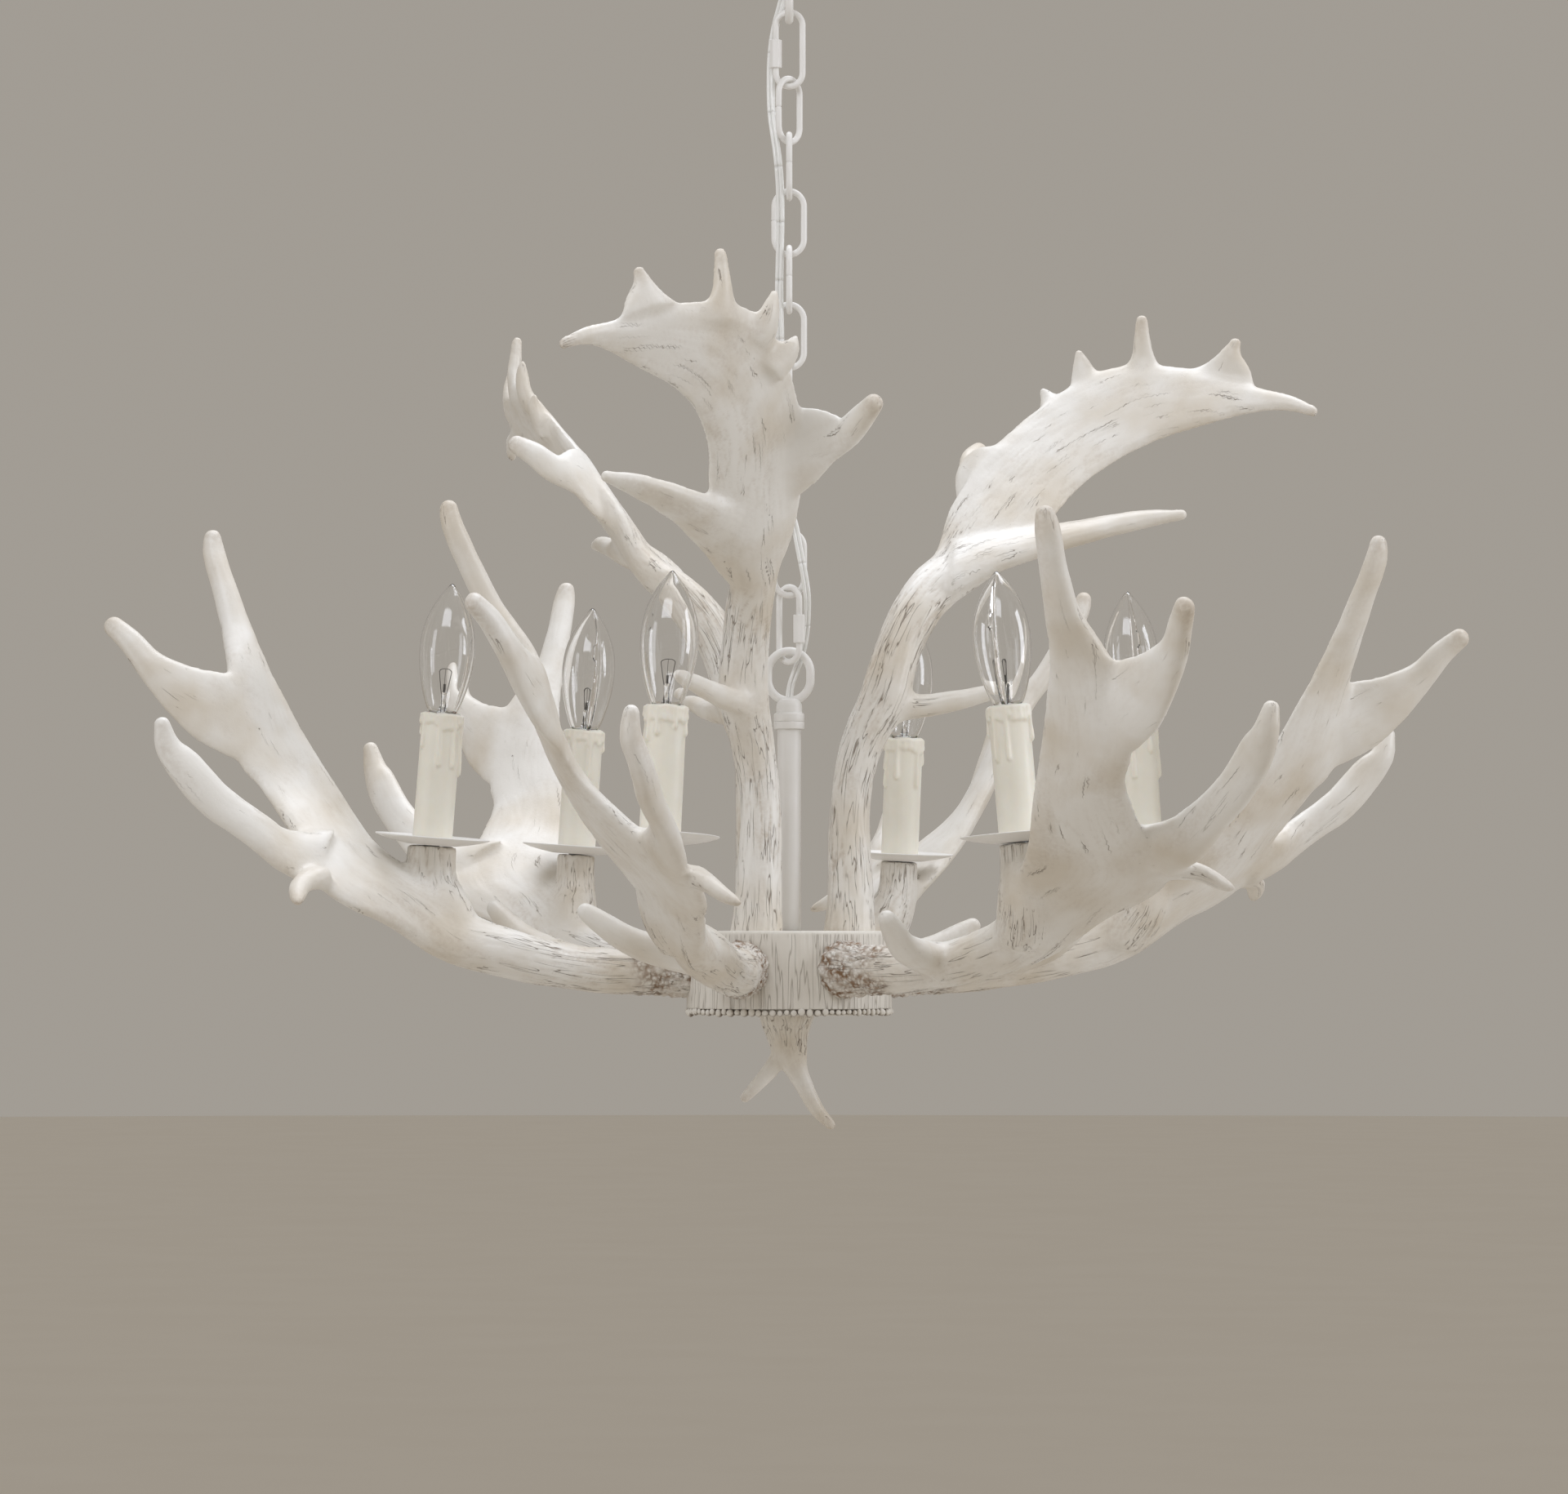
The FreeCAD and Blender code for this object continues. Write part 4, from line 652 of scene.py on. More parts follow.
def carve(mesh, limbs, burr=0.0, bark_fine=3.4, rub=1.0):
    """Rubs the joints of a skin smooth, cuts its bark and marks it for the finish."""
    points = np.array([v.co for v in mesh.vertices]) / MM
    skins = {name: sections_of(stations) for name, stations in limbs.items()}
    found = [on_limb(points, sections) for sections in skins.values()]
    far = np.array([f[0] for f in found])
    order = np.argsort(far, axis=0)[:2]
    rows = np.arange(len(points))
    gap = far[order[1], rows] - far[order[0], rows]
    bm = bmesh.new()
    bm.from_mesh(mesh)
    bm.verts.ensure_lookup_table()
    for limit, rounds in JOINT_RUBS:
        joint = [bm.verts[i] for i in np.flatnonzero(gap < limit * rub)]
        for _ in range(rounds):
            bmesh.ops.smooth_vert(bm, verts=joint, factor=0.5, use_axis_x=True, use_axis_y=True,
                                  use_axis_z=True)
    bm.to_mesh(mesh)
    bm.free()
    points = np.array([v.co for v in mesh.vertices]) / MM
    weight = np.exp(-np.maximum(far[order, rows], 0) / LIMB_BLEND)
    weight /= weight.sum(axis=0)
    groove = np.zeros(len(points))
    depth = np.zeros(len(points))
    veins = np.zeros(len(points))
    ends = np.zeros(len(points))
    limb_place = np.zeros((len(points), 3))
    for number, (name, sections) in enumerate(skins.items()):
        place = found[number][1]
        total = place[:, 0].max()
        for rank in range(2):
            mine = np.flatnonzero((order[rank] == number) & (weight[rank] > 0.02))
            if not len(mine):
                continue
            own = place[mine]
            share = weight[rank][mine]
            fine = grain(own, 26, bark_fine, number * 7.3)
            broad = grain(own, 70, 11, number * 3.1 + 40)
            line = 1 - np.minimum(1, np.abs(fine) / 0.2)
            amount = np.interp(own[:, 0], *zip(*BARK[name]))
            groove[mine] += share * line
            depth[mine] += share * amount
            veins[mine] += share * broad
            ends[mine] += share * np.clip((own[:, 0] - total + TIP_STAIN) / TIP_STAIN, 0, 1)
            if rank == 0:
                limb_place[mine] = own + (300 * number, 0, 0)
    patch = np.array([noise.noise(Vector(p) / 34) for p in points])
    lumps = np.array([noise.noise(Vector(p) / 13 + Vector((5, 5, 5))) for p in points])
    nubs = np.zeros(len(points))
    root = np.zeros(len(points))
    if burr:
        ragged = np.array([noise.noise(Vector(p) / 9) for p in points])
        first = found[0][1][:, 0] + 11 * ragged
        root = np.clip((burr - first) / (0.3 * burr), 0, 1) * np.clip(1 - (far[0] - 3) / 4, 0, 1)
        spots = np.flatnonzero(root > 0)
        nubs[spots] = [0.6 - noise.voronoi(Vector(p) / 4.6)[0][0] for p in points[spots]]
    normals = np.array([v.normal for v in mesh.vertices])
    lift = (-0.6 * depth * groove + lumps * 0.35 + veins * 0.3 * (depth < 0.4)
            + root * nubs * 2.8)
    moved = (points + normals * lift[:, None]) * MM
    mesh.vertices.foreach_set("co", moved.ravel())
    wash = groove * np.clip(depth * 0.7, 0.08, 0.5) * np.clip(0.55 + patch * 1.6, 0.1, 1)
    wash += np.clip(-veins - 0.1, 0, 1) * 0.35 + ends * 0.45
    bark = depth * np.clip(gap / 3, 0, 1)
    for name, values in (("wash", wash), ("root", root), ("bark", bark)):
        layer = mesh.attributes.new(name, "FLOAT", "POINT")
        layer.data.foreach_set("value", np.clip(values, 0, 1).astype(np.float32))
    layer = mesh.attributes.new("limb_place", "FLOAT_VECTOR", "POINT")
    layer.data.foreach_set("vector", (limb_place * MM).astype(np.float32).ravel())
    mesh.update()
    return mesh


# %% [markdown]
# ## The lower castings
# All six are copies of one pattern, so the pattern is carved once. The copies keep its wash and
# get their clouds of colour from where they hang.

# %% Six lower antlers
VOXEL = 1.35


def antler_pattern(limbs, burr):
    """One carved casting in the coordinates of its pattern."""
    bm = bmesh.new()
    for name, stations in limbs.items():
        add_limb(bm, sections_of(stations, rounded=name != "candle_stub"))
    return carve(one_skin(bm, VOXEL), limbs, burr)


lower_pattern = antler_pattern(LOWER_LIMBS, burr=52.0)
for number, place in enumerate(lower_places, 1):
    mesh = lower_pattern.copy()
    mesh.transform(place)
    hang("antler_lower_%d" % number, mesh, "fixture", [antler_finish],
         ["lower_antler_%d" % number])
print("lower pattern faces:", len(lower_pattern.polygons))

# %% [markdown]
# ## The upper castings
# Three taller castings stand between the arms. Their beams are rough like old oak bark, and
# their palms are smooth and thin.

# %% Three upper antlers
upper_pattern = antler_pattern(UPPER_LIMBS, burr=0.0)
for number, place in enumerate(upper_places, 1):
    mesh = upper_pattern.copy()
    mesh.transform(place)
    hang("antler_upper_%d" % number, mesh, "fixture", [antler_finish],
         ["upper_antler_%d" % number])
print("upper pattern faces:", len(upper_pattern.polygons))

# %% [markdown]
# ## The finial
# A small forked tip hangs point down under the drum. It is carved in the same way, with a finer
# voxel because it is small.

# %% Finial
FINIAL_LIMBS = {
    "trunk": [((-1.5, 0, 1), 18, 17), ((-1.5, 0, -4), 16.5, 16), ((-1, 0, -13), 13.5, 13),
              ((0.5, 0, -22), 11.6, 11.5), ((4.5, 1, -34), 7.6, 7.6), ((10, 1, -46), 5.8, 5.8),
              ((17, 0, -59), 4.8, 4.8), ((26, -1, -69), 3.3, 3.3)],
    "fork": [((-3, 0, -21), 7, 7), ((-10, -1, -32), 5.4, 5.4), ((-18.5, -2, -42), 4.6, 4.6),
             ((-28, -2, -52), 3.2, 3.2)],
}
bm = bmesh.new()
for stations in FINIAL_LIMBS.values():
    add_limb(bm, sections_of(stations, step=2.5))
finial_mesh = carve(one_skin(bm, 0.8), FINIAL_LIMBS, bark_fine=2.8, rub=0.4)
finial_mesh.transform(at(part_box("finial")[1].z))
hang("finial_fork", finial_mesh, "fixture", [antler_finish], ["finial"])
print("finial faces:", len(finial_mesh.polygons))

# %% [markdown]
# ## The drum
# The drum is a short cylinder with upright bark grooves. A profile with a rounded top edge is
# spun in 420 steps, the side is cut into rows, and each point of the side is pushed in where a
# noise, stretched upright, passes through zero. Under it runs a ring of small uneven beads, cast
# with the base plate.

# %% Drum with bark grooves
DRUM_RADIUS, DRUM_HEIGHT, DRUM_WALL = 65.0, 49.0, 8.0
side_rows = [(DRUM_RADIUS, -1.6 - 1.5 * k) for k in range(32)]
drum = spun([(5.0, 0), (DRUM_RADIUS - 9, 0), (DRUM_RADIUS - 1.6, 0), (DRUM_RADIUS - 0.5, -0.5)]
            + side_rows + [(DRUM_RADIUS, -DRUM_HEIGHT), (DRUM_RADIUS - DRUM_WALL, -DRUM_HEIGHT),
                      (DRUM_RADIUS - DRUM_WALL, -DRUM_WALL), (5.0, -DRUM_WALL)], steps=420)
on_side = []
for v in drum.verts:
    radius = v.co.xy.length / MM
    bark_cut = 0.0
    if radius > DRUM_RADIUS - 3:
        bark_cut = 1 - min(1, abs(noise.noise(Vector((v.co.x / 0.0042, v.co.y / 0.0042,
                                                      v.co.z / 0.06)))) / 0.2)
        v.co.xy *= 1 - 0.6 * bark_cut / DRUM_RADIUS
    on_side.append(float(radius > DRUM_RADIUS - 1 and v.co.z < -2.5 * MM))
drum.transform(at(DRUM_TOP))
mesh = meshed("drum_bark", drum)
mesh.attributes.new("bark_side", "FLOAT", "POINT").data.foreach_set("value", on_side)
hang("drum_bark", mesh, "fixture", [drum_finish], ["hub_shell"])
print("drum faces:", len(mesh.polygons))

# %% Base plate with its ring of beads
dice = random.Random(11)
plate = spun([(5.0, 0), (DRUM_RADIUS - 2.6, 0), (DRUM_RADIUS - 2.6, -4), (5.0, -4)], steps=128)
beads = bmesh.new()
bead_count = 0
turn = 0.0
while turn < math.tau - 0.03:
    bead = dice.uniform(1.9, 2.7)
    turn += bead / DRUM_RADIUS
    outwards = DRUM_RADIUS - 1.3 + dice.uniform(-0.4, 0.6)
    height = -2.0 + dice.uniform(-0.6, 0.6)
    spot = Matrix.Rotation(turn, 4, "Z") @ Matrix.Translation((outwards * MM, 0, height * MM))
    shape = Matrix.Diagonal((dice.uniform(0.8, 1.1), dice.uniform(0.85, 1.05),
                             dice.uniform(0.85, 1.15), 1))
    bmesh.ops.create_icosphere(beads, subdivisions=2, radius=bead * MM, matrix=spot @ shape)
    turn += bead / DRUM_RADIUS
    bead_count += 1
beads.normal_update()
# Painted shade with some wash: bead points that turn away from straight outwards are marked darker
# for the finish.
bead_wash_and_shade = beads.verts.layers.float.new("bead_wash_and_shade")
for v in beads.verts:
    from_axis = Vector((v.co.x, v.co.y, 0)).normalized()
    v[bead_wash_and_shade] = min(1, max(0, (0.62 - v.normal.dot(from_axis)) / 0.4))
eased(plate, 0.6)
# The plate's rim behind the beads gets the dark shadow finish: painted shade in the gaps between
# the beads, with some wash.
for face in plate.faces:
    if abs(face.normal.z) < 0.5 and face.calc_center_median().xy.length > 50 * MM:
        face.material_index = 1
bottom = joined(plate, beads)
bottom.transform(at(DRUM_TOP - DRUM_HEIGHT * MM))
to_piece("drum_base_beads", bottom, "fixture", [drum_finish, shadow_gap_finish],
         ["hub_bottom_plate"])
print("beads:", bead_count)

# %% [markdown]
# ## Bent bar: loops, links and quick links
# A link is round bar bent to an oval. One circle of points is pushed up one leg, spun round the
# bend, pushed down the other leg and spun home. The legs of a welded link are drawn in a little
# towards the ends. It keeps a fine line across one leg, here the left or the near one, where the
# wire's ends met, and the paint never quite fills it. That line is coloured with the dark shadow
# finish, as painted shade in the slit.

# %% Bent bar
def oval_bar(length, width, wire, leg_rings=(), opening=None):
    """Round bar bent to an upright oval, in mm. leg_rings are heights on the right leg with the
    share of the radius there. opening is the low and high end of a gap in that leg."""
    reach = (width - wire) / 2 * MM
    straight = (length - width) / 2 * MM
    bm = bmesh.new()
    start = opening[1] * MM if opening else -straight
    ring = bmesh.ops.create_circle(bm, segments=20, radius=wire / 2 * MM,
                                   matrix=at(start, reach), cap_ends=False)["verts"]
    first = list({e for v in ring for e in v.link_edges})

    def push(verts, edges, height):
        grown = bmesh.ops.extrude_edge_only(bm, edges=edges)["geom"]
        fresh = [g for g in grown if isinstance(g, bmesh.types.BMVert)]
        bmesh.ops.translate(bm, verts=fresh, vec=(0, 0, height - fresh[0].co.z))
        held = set(fresh)
        return fresh, [e for v in fresh for e in v.link_edges if e.other_vert(v) in held]

    def pinch(verts, share):
        middle = sum((v.co for v in verts), Vector()) / len(verts)
        bmesh.ops.scale(bm, verts=verts, vec=(share, share, 1), space=Matrix.Translation(-middle))

    verts, edges = ring, first
    share_before = 1.0
    for height, share in leg_rings:
        if height * MM > start:
            verts, edges = push(verts, list(set(edges)), height * MM)
            pinch(verts, share / share_before)
            share_before = share
    if share_before != 1.0:
        pinch(verts, 1 / share_before)
    verts, edges = push(verts, list(set(edges)), straight)
    for centre, leg_end in ((straight, -straight), (-straight, None)):
        last = bmesh.ops.spin(bm, geom=verts + list(set(edges)), cent=(0, 0, centre),
                              axis=(0, -1, 0), angle=math.pi, steps=22)["geom_last"]
        verts = [g for g in last if isinstance(g, bmesh.types.BMVert)]
        edges = [g for g in last if isinstance(g, bmesh.types.BMEdge)]
        if leg_end is not None:
            verts, edges = push(verts, edges, leg_end)
    if opening:
        for height in np.arange(-straight / MM + 1, opening[0] - 0.2, 0.35):
            verts, edges = push(verts, list(set(edges)), height * MM)
        verts, edges = push(verts, list(set(edges)), opening[0] * MM)
        bmesh.ops.contextual_create(bm, geom=list(set(edges)))
        bmesh.ops.contextual_create(bm, geom=first)
    bmesh.ops.remove_doubles(bm, verts=bm.verts, dist=1e-6)
    bmesh.ops.recalc_face_normals(bm, faces=bm.faces)
    return bm


def centre_of(node):
    """The middle height of a CAD node, in metres."""
    low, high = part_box(node)
    return (low.z + high.z) / 2


# %% Nine welded links
LINK_TURNS = [45, 90, 0, 90, 0, 90, 0, 90, 0]
WIRE, LINK_LENGTH, LINK_WIDTH = 4.0, 44.5, 23.0
WELD_HEIGHT, WELD_BAND = 1.5, 0.4
DRAWN_IN = 0.05
SEAM = [(WELD_HEIGHT + rise, share)
        for rise, share in ((-0.9, 1.0), (-0.5, 0.96), (0, 0.7), (0.5, 0.96), (0.9, 1.0))]
for number, turn in enumerate(LINK_TURNS, 1):
    node = "chain_link_%d" % number
    link = oval_bar(LINK_LENGTH, LINK_WIDTH, WIRE, SEAM)
    for v in link.verts:
        v.co.x *= 1 - DRAWN_IN * (v.co.z / (LINK_LENGTH / 2 * MM)) ** 2
    # The seam's band gets the dark shadow finish: painted shade in the slit where the wire's ends
    # met.
    for face in link.faces:
        middle = face.calc_center_median()
        if middle.x > 0 and abs(middle.z - WELD_HEIGHT * MM) < WELD_BAND * MM:
            face.material_index = 1
    link.transform(at(centre_of(node)) @ Matrix.Rotation(math.radians(turn + 180), 4, "Z"))
    to_piece("link_%d" % number, link, node, [paint_finish, shadow_gap_finish], [node])
print("links made:", len(LINK_TURNS))

# %% [markdown]
# ## The two quick links
# A quick link opens: a long six-sided nut runs on a thread on one leg and closes the gap. The
# gap and the thread are modelled, because they show when the nut is screwed up.

# %% Quick links and their nuts
QUICK_LENGTH, QUICK_WIDTH = 51.5, 21.0
NUT_LOW, NUT_LENGTH = -12.0, 18.0
QUICK_REACH = (QUICK_WIDTH - WIRE) / 2
LEG_GAP = (-10.5, -3.0)
leg_thread = [(h, 1.0 if k % 2 else 0.9) for k, h in enumerate(np.arange(-2.6, 5.5, 0.35))]
for name, nut_name, turn in (("top_quick_link", "top_link_nut", 180),
                             ("bottom_quick_link", "bottom_link_nut", -42)):
    place = at(centre_of(name)) @ Matrix.Rotation(math.radians(turn), 4, "Z")
    bar = oval_bar(QUICK_LENGTH, QUICK_WIDTH, WIRE, leg_thread, opening=LEG_GAP)
    bar.transform(place)
    to_piece(name.replace("link", "link_bar"), bar, name, [paint_finish], [name])
    nut = spun([(2.05, 0), (4.0, 0), (4.0, NUT_LENGTH), (2.05, NUT_LENGTH)], steps=6)
    eased(nut, 0.5)
    nut.transform(place @ at(NUT_LOW * MM, QUICK_REACH * MM))
    to_piece(nut_name.replace("nut", "hex_nut"), nut, nut_name, [paint_finish],
             [nut_name], flat=True)
print("quick links: 2")

# %% [markdown]
# ## Stem, loop and canopy
# These are turned and cast parts in the same enamel. Their profiles are spun, and the sharp
# edges of the neck, the collars and the stem are eased by 0.2 to 0.35 mm, as paint and a worn
# mould leave them.

# %% Fixture loop, collar and stem
RING_LENGTH, RING_WIDTH, RING_WIRE = 37.0, 32.4, 5.4
NECK_HEIGHT = 14.5
RING_SINK = 1.5
RING_HALF = 16
STEM_LENGTH = 128.0
loop_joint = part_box("stem_collar")[1].z
neck = spun([(3.6, NECK_HEIGHT), (5.6, NECK_HEIGHT), (7.0, 13.4), (8.0, 11.0), (8.2, 9.5),
             (8.2, 5.6), (9.3, 5.2), (9.7, 4.8), (9.7, 0.15), (9.4, 0.0), (3.6, 0.0)], steps=72)
ring = oval_bar(RING_LENGTH, RING_WIDTH, RING_WIRE)
ring.transform(at((RING_HALF - RING_SINK + NECK_HEIGHT) * MM))
loop = joined(eased(neck, 0.35), ring)
loop.transform(at(loop_joint))
to_piece("loop_on_stem", loop, "fixture", [paint_finish], ["fixture_loop"])
collar = spun([(4.95, 0), (9.4, 0), (9.7, -0.3), (9.7, -4.4), (9.3, -4.8), (4.95, -4.8)],
              steps=72)
collar.transform(at(loop_joint))
to_piece("stem_collar_ring", eased(collar, 0.2), "fixture", [paint_finish],
         ["stem_collar"])
stem = spun([(6.3, 0), (7.5, 0), (7.5, 40), (7.5, 90), (7.5, STEM_LENGTH), (6.3, STEM_LENGTH)],
            steps=72)
stem.transform(at(DRUM_TOP))
to_piece("stem_painted_tube", eased(stem, 0.3), "fixture", [paint_finish],
         ["stem_tube"])
print("stem joint at", round(loop_joint, 4))

# %% Canopy, its loop and its collar
canopy_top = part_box("canopy")[1].z
dish = [(64.0, 0), (64.3, -1.6), (63.6, -3.4), (60.5, -8.2), (55.5, -12.2), (49.0, -15.6),
        (41.0, -19.4), (33.0, -22.8), (27.0, -25.2), (22.5, -26.0), (17.2, -26.0)]
inner = [(r - (1.1 if r > 20 else 0), z + (1.2 if r < 60 else 0)) for r, z in reversed(dish)]
canopy = spun(dish + inner, steps=128)
canopy.transform(at(canopy_top))
to_piece("canopy_dish", canopy, "ceiling_mount", [paint_finish], ["canopy"])
DISH_DEPTH, COLLAR_HEIGHT, BOSS_BELOW = 26.0, 9.0, 2.0
boss_low = -DISH_DEPTH - COLLAR_HEIGHT - BOSS_BELOW
boss = spun([(4.95, boss_low + 17), (16.2, boss_low + 17), (16.7, boss_low + 16.5),
             (16.7, boss_low + 0.4), (15.8, boss_low - 0.4), (8.6, boss_low - 1.4),
             (3.7, boss_low - 1.5), (3.7, boss_low + 1.5), (4.95, boss_low + 1.5)], steps=72)
ring = oval_bar(RING_LENGTH, RING_WIDTH, RING_WIRE)
ring.transform(at((boss_low - RING_HALF) * MM) @ Matrix.Rotation(math.radians(90), 4, "Z"))
to_piece("loop_on_canopy", joined(boss, ring), "ceiling_mount", [paint_finish],
         ["canopy_loop"])
grip = spun([(16.8, -35), (19.6, -35), (21, -33.6), (21, -27.2), (20.2, -26.05), (16.8, -26.05)],
            steps=48)
to_piece("canopy_collar_ring", eased(grip, 0.25), "collar", [paint_finish],
         ["canopy_collar"])
print("canopy rim at", round(canopy_top, 4))

# %% [markdown]
# ## Drip pans and candle covers
# The pans are thin pressed dishes. The candle covers are plastic tubes with moulded runs of wax:
# close short ones make a scalloped collar at the rim, and a few long ones end in a drop. Tube
# and runs are joined by a voxel remesh, so that the wax seems to flow out of the wall. Every
# candle gets its own runs.

# %% Six drip pans
pan = spun([(5.0, 0), (12.0, 0), (16.0, 0.15), (24.0, 1.6), (31.0, 3.2), (34.6, 4.4),
            (35.7, 4.9), (36.0, 5.3), (35.8, 5.6), (35.2, 5.7), (34.4, 5.3), (30.7, 4.2),
            (23.6, 2.7), (15.6, 1.3), (12.0, 1.2), (5.0, 1.2)], steps=96)
pans = set_down(pan, *candle_places)
to_piece("drip_pan_set", pans, "fixture", [paint_finish], ["drip_pans"])

# %% Six candle covers with wax runs
COVER_RADIUS, COVER_BORE, COVER_LOW, COVER_TOP = 12.5, 10.4, 1.2, 83.2
COVER_VOXEL = 0.75
RIM_RUN_WIDTH, RIM_RUN_PROUD, RIM_RUN_EVERY = 2.9, 1.5, 0.3


def wax_run(bm, turn, width, length, proud):
    """One run of wax down the outside of a cover, ending in a drop."""
    out = Vector((math.cos(turn), math.sin(turn), 0))
    aside = Vector((-math.sin(turn), math.cos(turn), 0))
    stations = []
    for share, wide, thick in ((0, 1.25, 0.7), (0.2, 0.95, 0.9), (0.55, 0.75, 0.85),
                               (0.85, 0.95, 1.05), (1.0, 1.0, 1.1)):
        spot = out * (COVER_RADIUS - 0.3) + Vector((0, 0, COVER_TOP - 0.9 - share * length))
        stations.append((tuple(spot - aside * width * wide), tuple(spot + aside * width * wide),
                         proud * thick + 0.3))
    add_limb(bm, sections_of(stations, step=2.0), points=12)


def candle_cover(seed):
    """A tube with a scalloped collar of wax at its rim and long runs below it."""
    dice = random.Random(seed)
    bm = spun([(COVER_BORE, COVER_LOW), (COVER_RADIUS, COVER_LOW), (COVER_RADIUS, COVER_TOP - 1),
               (COVER_RADIUS - 0.9, COVER_TOP), (COVER_BORE, COVER_TOP)], steps=64)
    turn = 0.0
    while turn < math.tau:
        wax_run(bm, turn, RIM_RUN_WIDTH, dice.uniform(4, 9), RIM_RUN_PROUD)
        turn += RIM_RUN_EVERY
    turn = dice.uniform(0, 1)
    while turn < math.tau:
        wax_run(bm, turn, dice.uniform(1.5, 2.2), dice.choice((12, 16, 20, 25, 31, 36)),
                dice.uniform(1.8, 2.5))
        turn += dice.uniform(0.6, 1.2)
    mesh = one_skin(bm, COVER_VOXEL, smoothing=2)
    for v in mesh.vertices:
        if v.co.z > (COVER_TOP - 4) * MM:
            v.co.z += noise.noise(v.co / (6 * MM)) * 0.9 * MM
    return mesh


for number, place in enumerate(candle_places, 1):
    cover = candle_cover(number)
    cover.transform(place)
    hang("candle_cover_%d" % number, cover, "fixture", [wax_finish], ["candle_sleeves"])
print("cover faces:", len(cover.polygons))

# %% [markdown]
# ## The bulbs
# A clear torpedo lamp: a blown envelope with a drawn tip, a glass stem inside with a flare at
# its foot, two lead wires, and a fine coiled filament held in an arc. The envelope is a closed
# double wall, because that is what bends the light at its edges.

# %% Bulb pieces in the candle's own frame
BASE_TOP = COVER_TOP - 3 + 1
OUTLINE = [(5.6, 0), (9.6, 3.4), (13.6, 14.6), (16.5, 27.6), (17.6, 40.6), (16.5, 53.0),
           (13.2, 63.8), (8.2, 73.4), (3.4, 79.8), (1.2, 82.4), (0, 83.0)]


def through_points(points, count=5):
    """More points on the smooth curve through these pairs."""
    spots = [Vector((x, y)) for x, y in points]
    last = len(spots) - 1
    fine = []
    for i in range(last):
        near = [spots[max(i - 1, 0)], spots[i], spots[i + 1], spots[min(i + 2, last)]]
        fine += [between(*near, k / count) for k in range(count)]
    return [(max(p.x, 0), p.y) for p in fine] + [tuple(spots[-1])]


def round_wire(points, radius):
    """A thin wire along points in millimetres, as a bmesh."""
    data = bpy.data.curves.new("wire", "CURVE")
    data.dimensions = "3D"
    data.bevel_depth = radius * MM
    data.bevel_resolution = 1
    data.use_fill_caps = True
    spline = data.splines.new("NURBS")
    spline.points.add(len(points) - 1)
    for target, spot in zip(spline.points, points):
        target.co = (spot[0] * MM, spot[1] * MM, spot[2] * MM, 1)
    spline.order_u = 3
    spline.use_endpoint_u = True
    spline.resolution_u = 3
    holder = bpy.data.objects.new("wire", data)
    mesh = bpy.data.meshes.new_from_object(holder)
    bm = bmesh.new()
    bm.from_mesh(mesh)
    bpy.data.objects.remove(holder)
    bpy.data.curves.remove(data)
    bpy.data.meshes.remove(mesh)
    return bm


outer = through_points(OUTLINE)
WALL, TIP_WALL = 0.6, 0.8
bulb_height = OUTLINE[-1][1]
shrink = (bulb_height - WALL - TIP_WALL) / bulb_height
inner_wall = [(max(r - WALL, 0), WALL + z * shrink) for r, z in outer]
envelope = joined(spun([(0, 0)] + outer, steps=72, closed=False),
                  spun([(0, WALL)] + inner_wall, steps=72, closed=False))
half = len(envelope.faces) // 2
envelope.faces.ensure_lookup_table()
bmesh.ops.reverse_faces(envelope, faces=envelope.faces[half:])
envelope_mesh = meshed("envelope", envelope)

mount = spun([(0, 0.8), (4.2, 0.8), (3.4, 2.6), (2.2, 5), (1.7, 8), (1.5, 12), (2.0, 13.6),
              (1.4, 14.8), (0, 15.2)], steps=24, closed=False)
mount_mesh = meshed("mount", mount)

coil = [(5.0 * math.cos(t), 0.35 * math.sin(60 * t), 27.5 + 2.2 * math.sin(t))
        for t in np.linspace(0, math.pi, 90)]
leads = [round_wire([(-1.0, 0, 2), (-1.2, 0, 12), (-2.6, 0, 15), (-5.0, 0, 27.7)], 0.24),
         round_wire([(1.0, 0, 2), (1.2, 0, 12), (2.6, 0, 15), (5.0, 0, 27.7)], 0.24),
         round_wire([(0, 0, 14), (0, 0.4, 22), (0, 0, 29.7)], 0.16),
         round_wire([(0, 0, 15), (0, 0, 17), (0, 0, 20)], 0.85),
         round_wire(coil, 0.2)]
filament = joined(*leads)
filament_mesh = meshed("filament", filament)

# %% Six bulbs
cap_thread = [(5.9 if k % 2 else 5.2, -1.2 - 0.95 * k) for k in range(12)]
cap_foot = [(5.1, -13.6), (3.4, -15.0), (2.2, -15.2), (2.0, -16.2), (1.2, -16.5), (0, -16.5)]
cap = spun([(0, 0), (5.6, 0), (5.9, -0.4)] + cap_thread + cap_foot, steps=48, closed=False)
cap_mesh = meshed("cap", cap)
for number, place in enumerate(candle_places, 1):
    body = "bulb_%d" % number
    turned = Matrix.Rotation(math.radians(35 + 47 * number), 4, "Z")
    bulb_place = place @ at(BASE_TOP * MM) @ turned
    for label, source, finish, slot, replaced in (
            ("bulb_envelope", envelope_mesh, glass_finish, "glass", ["bulb_glass_%d" % number]),
            ("bulb_stem_glass", mount_mesh, glass_finish, "glass", []),
            ("bulb_filament", filament_mesh, tungsten_finish, "base_metal", []),
            ("bulb_screw_cap", cap_mesh, nickel_finish, "base_metal", ["bulb_base_%d" % number])):
        mesh = source.copy()
        mesh.transform(bulb_place)
        hang("%s_%d" % (label, number), mesh, body, [finish], replaced)
print("bulbs:", len(candle_places))
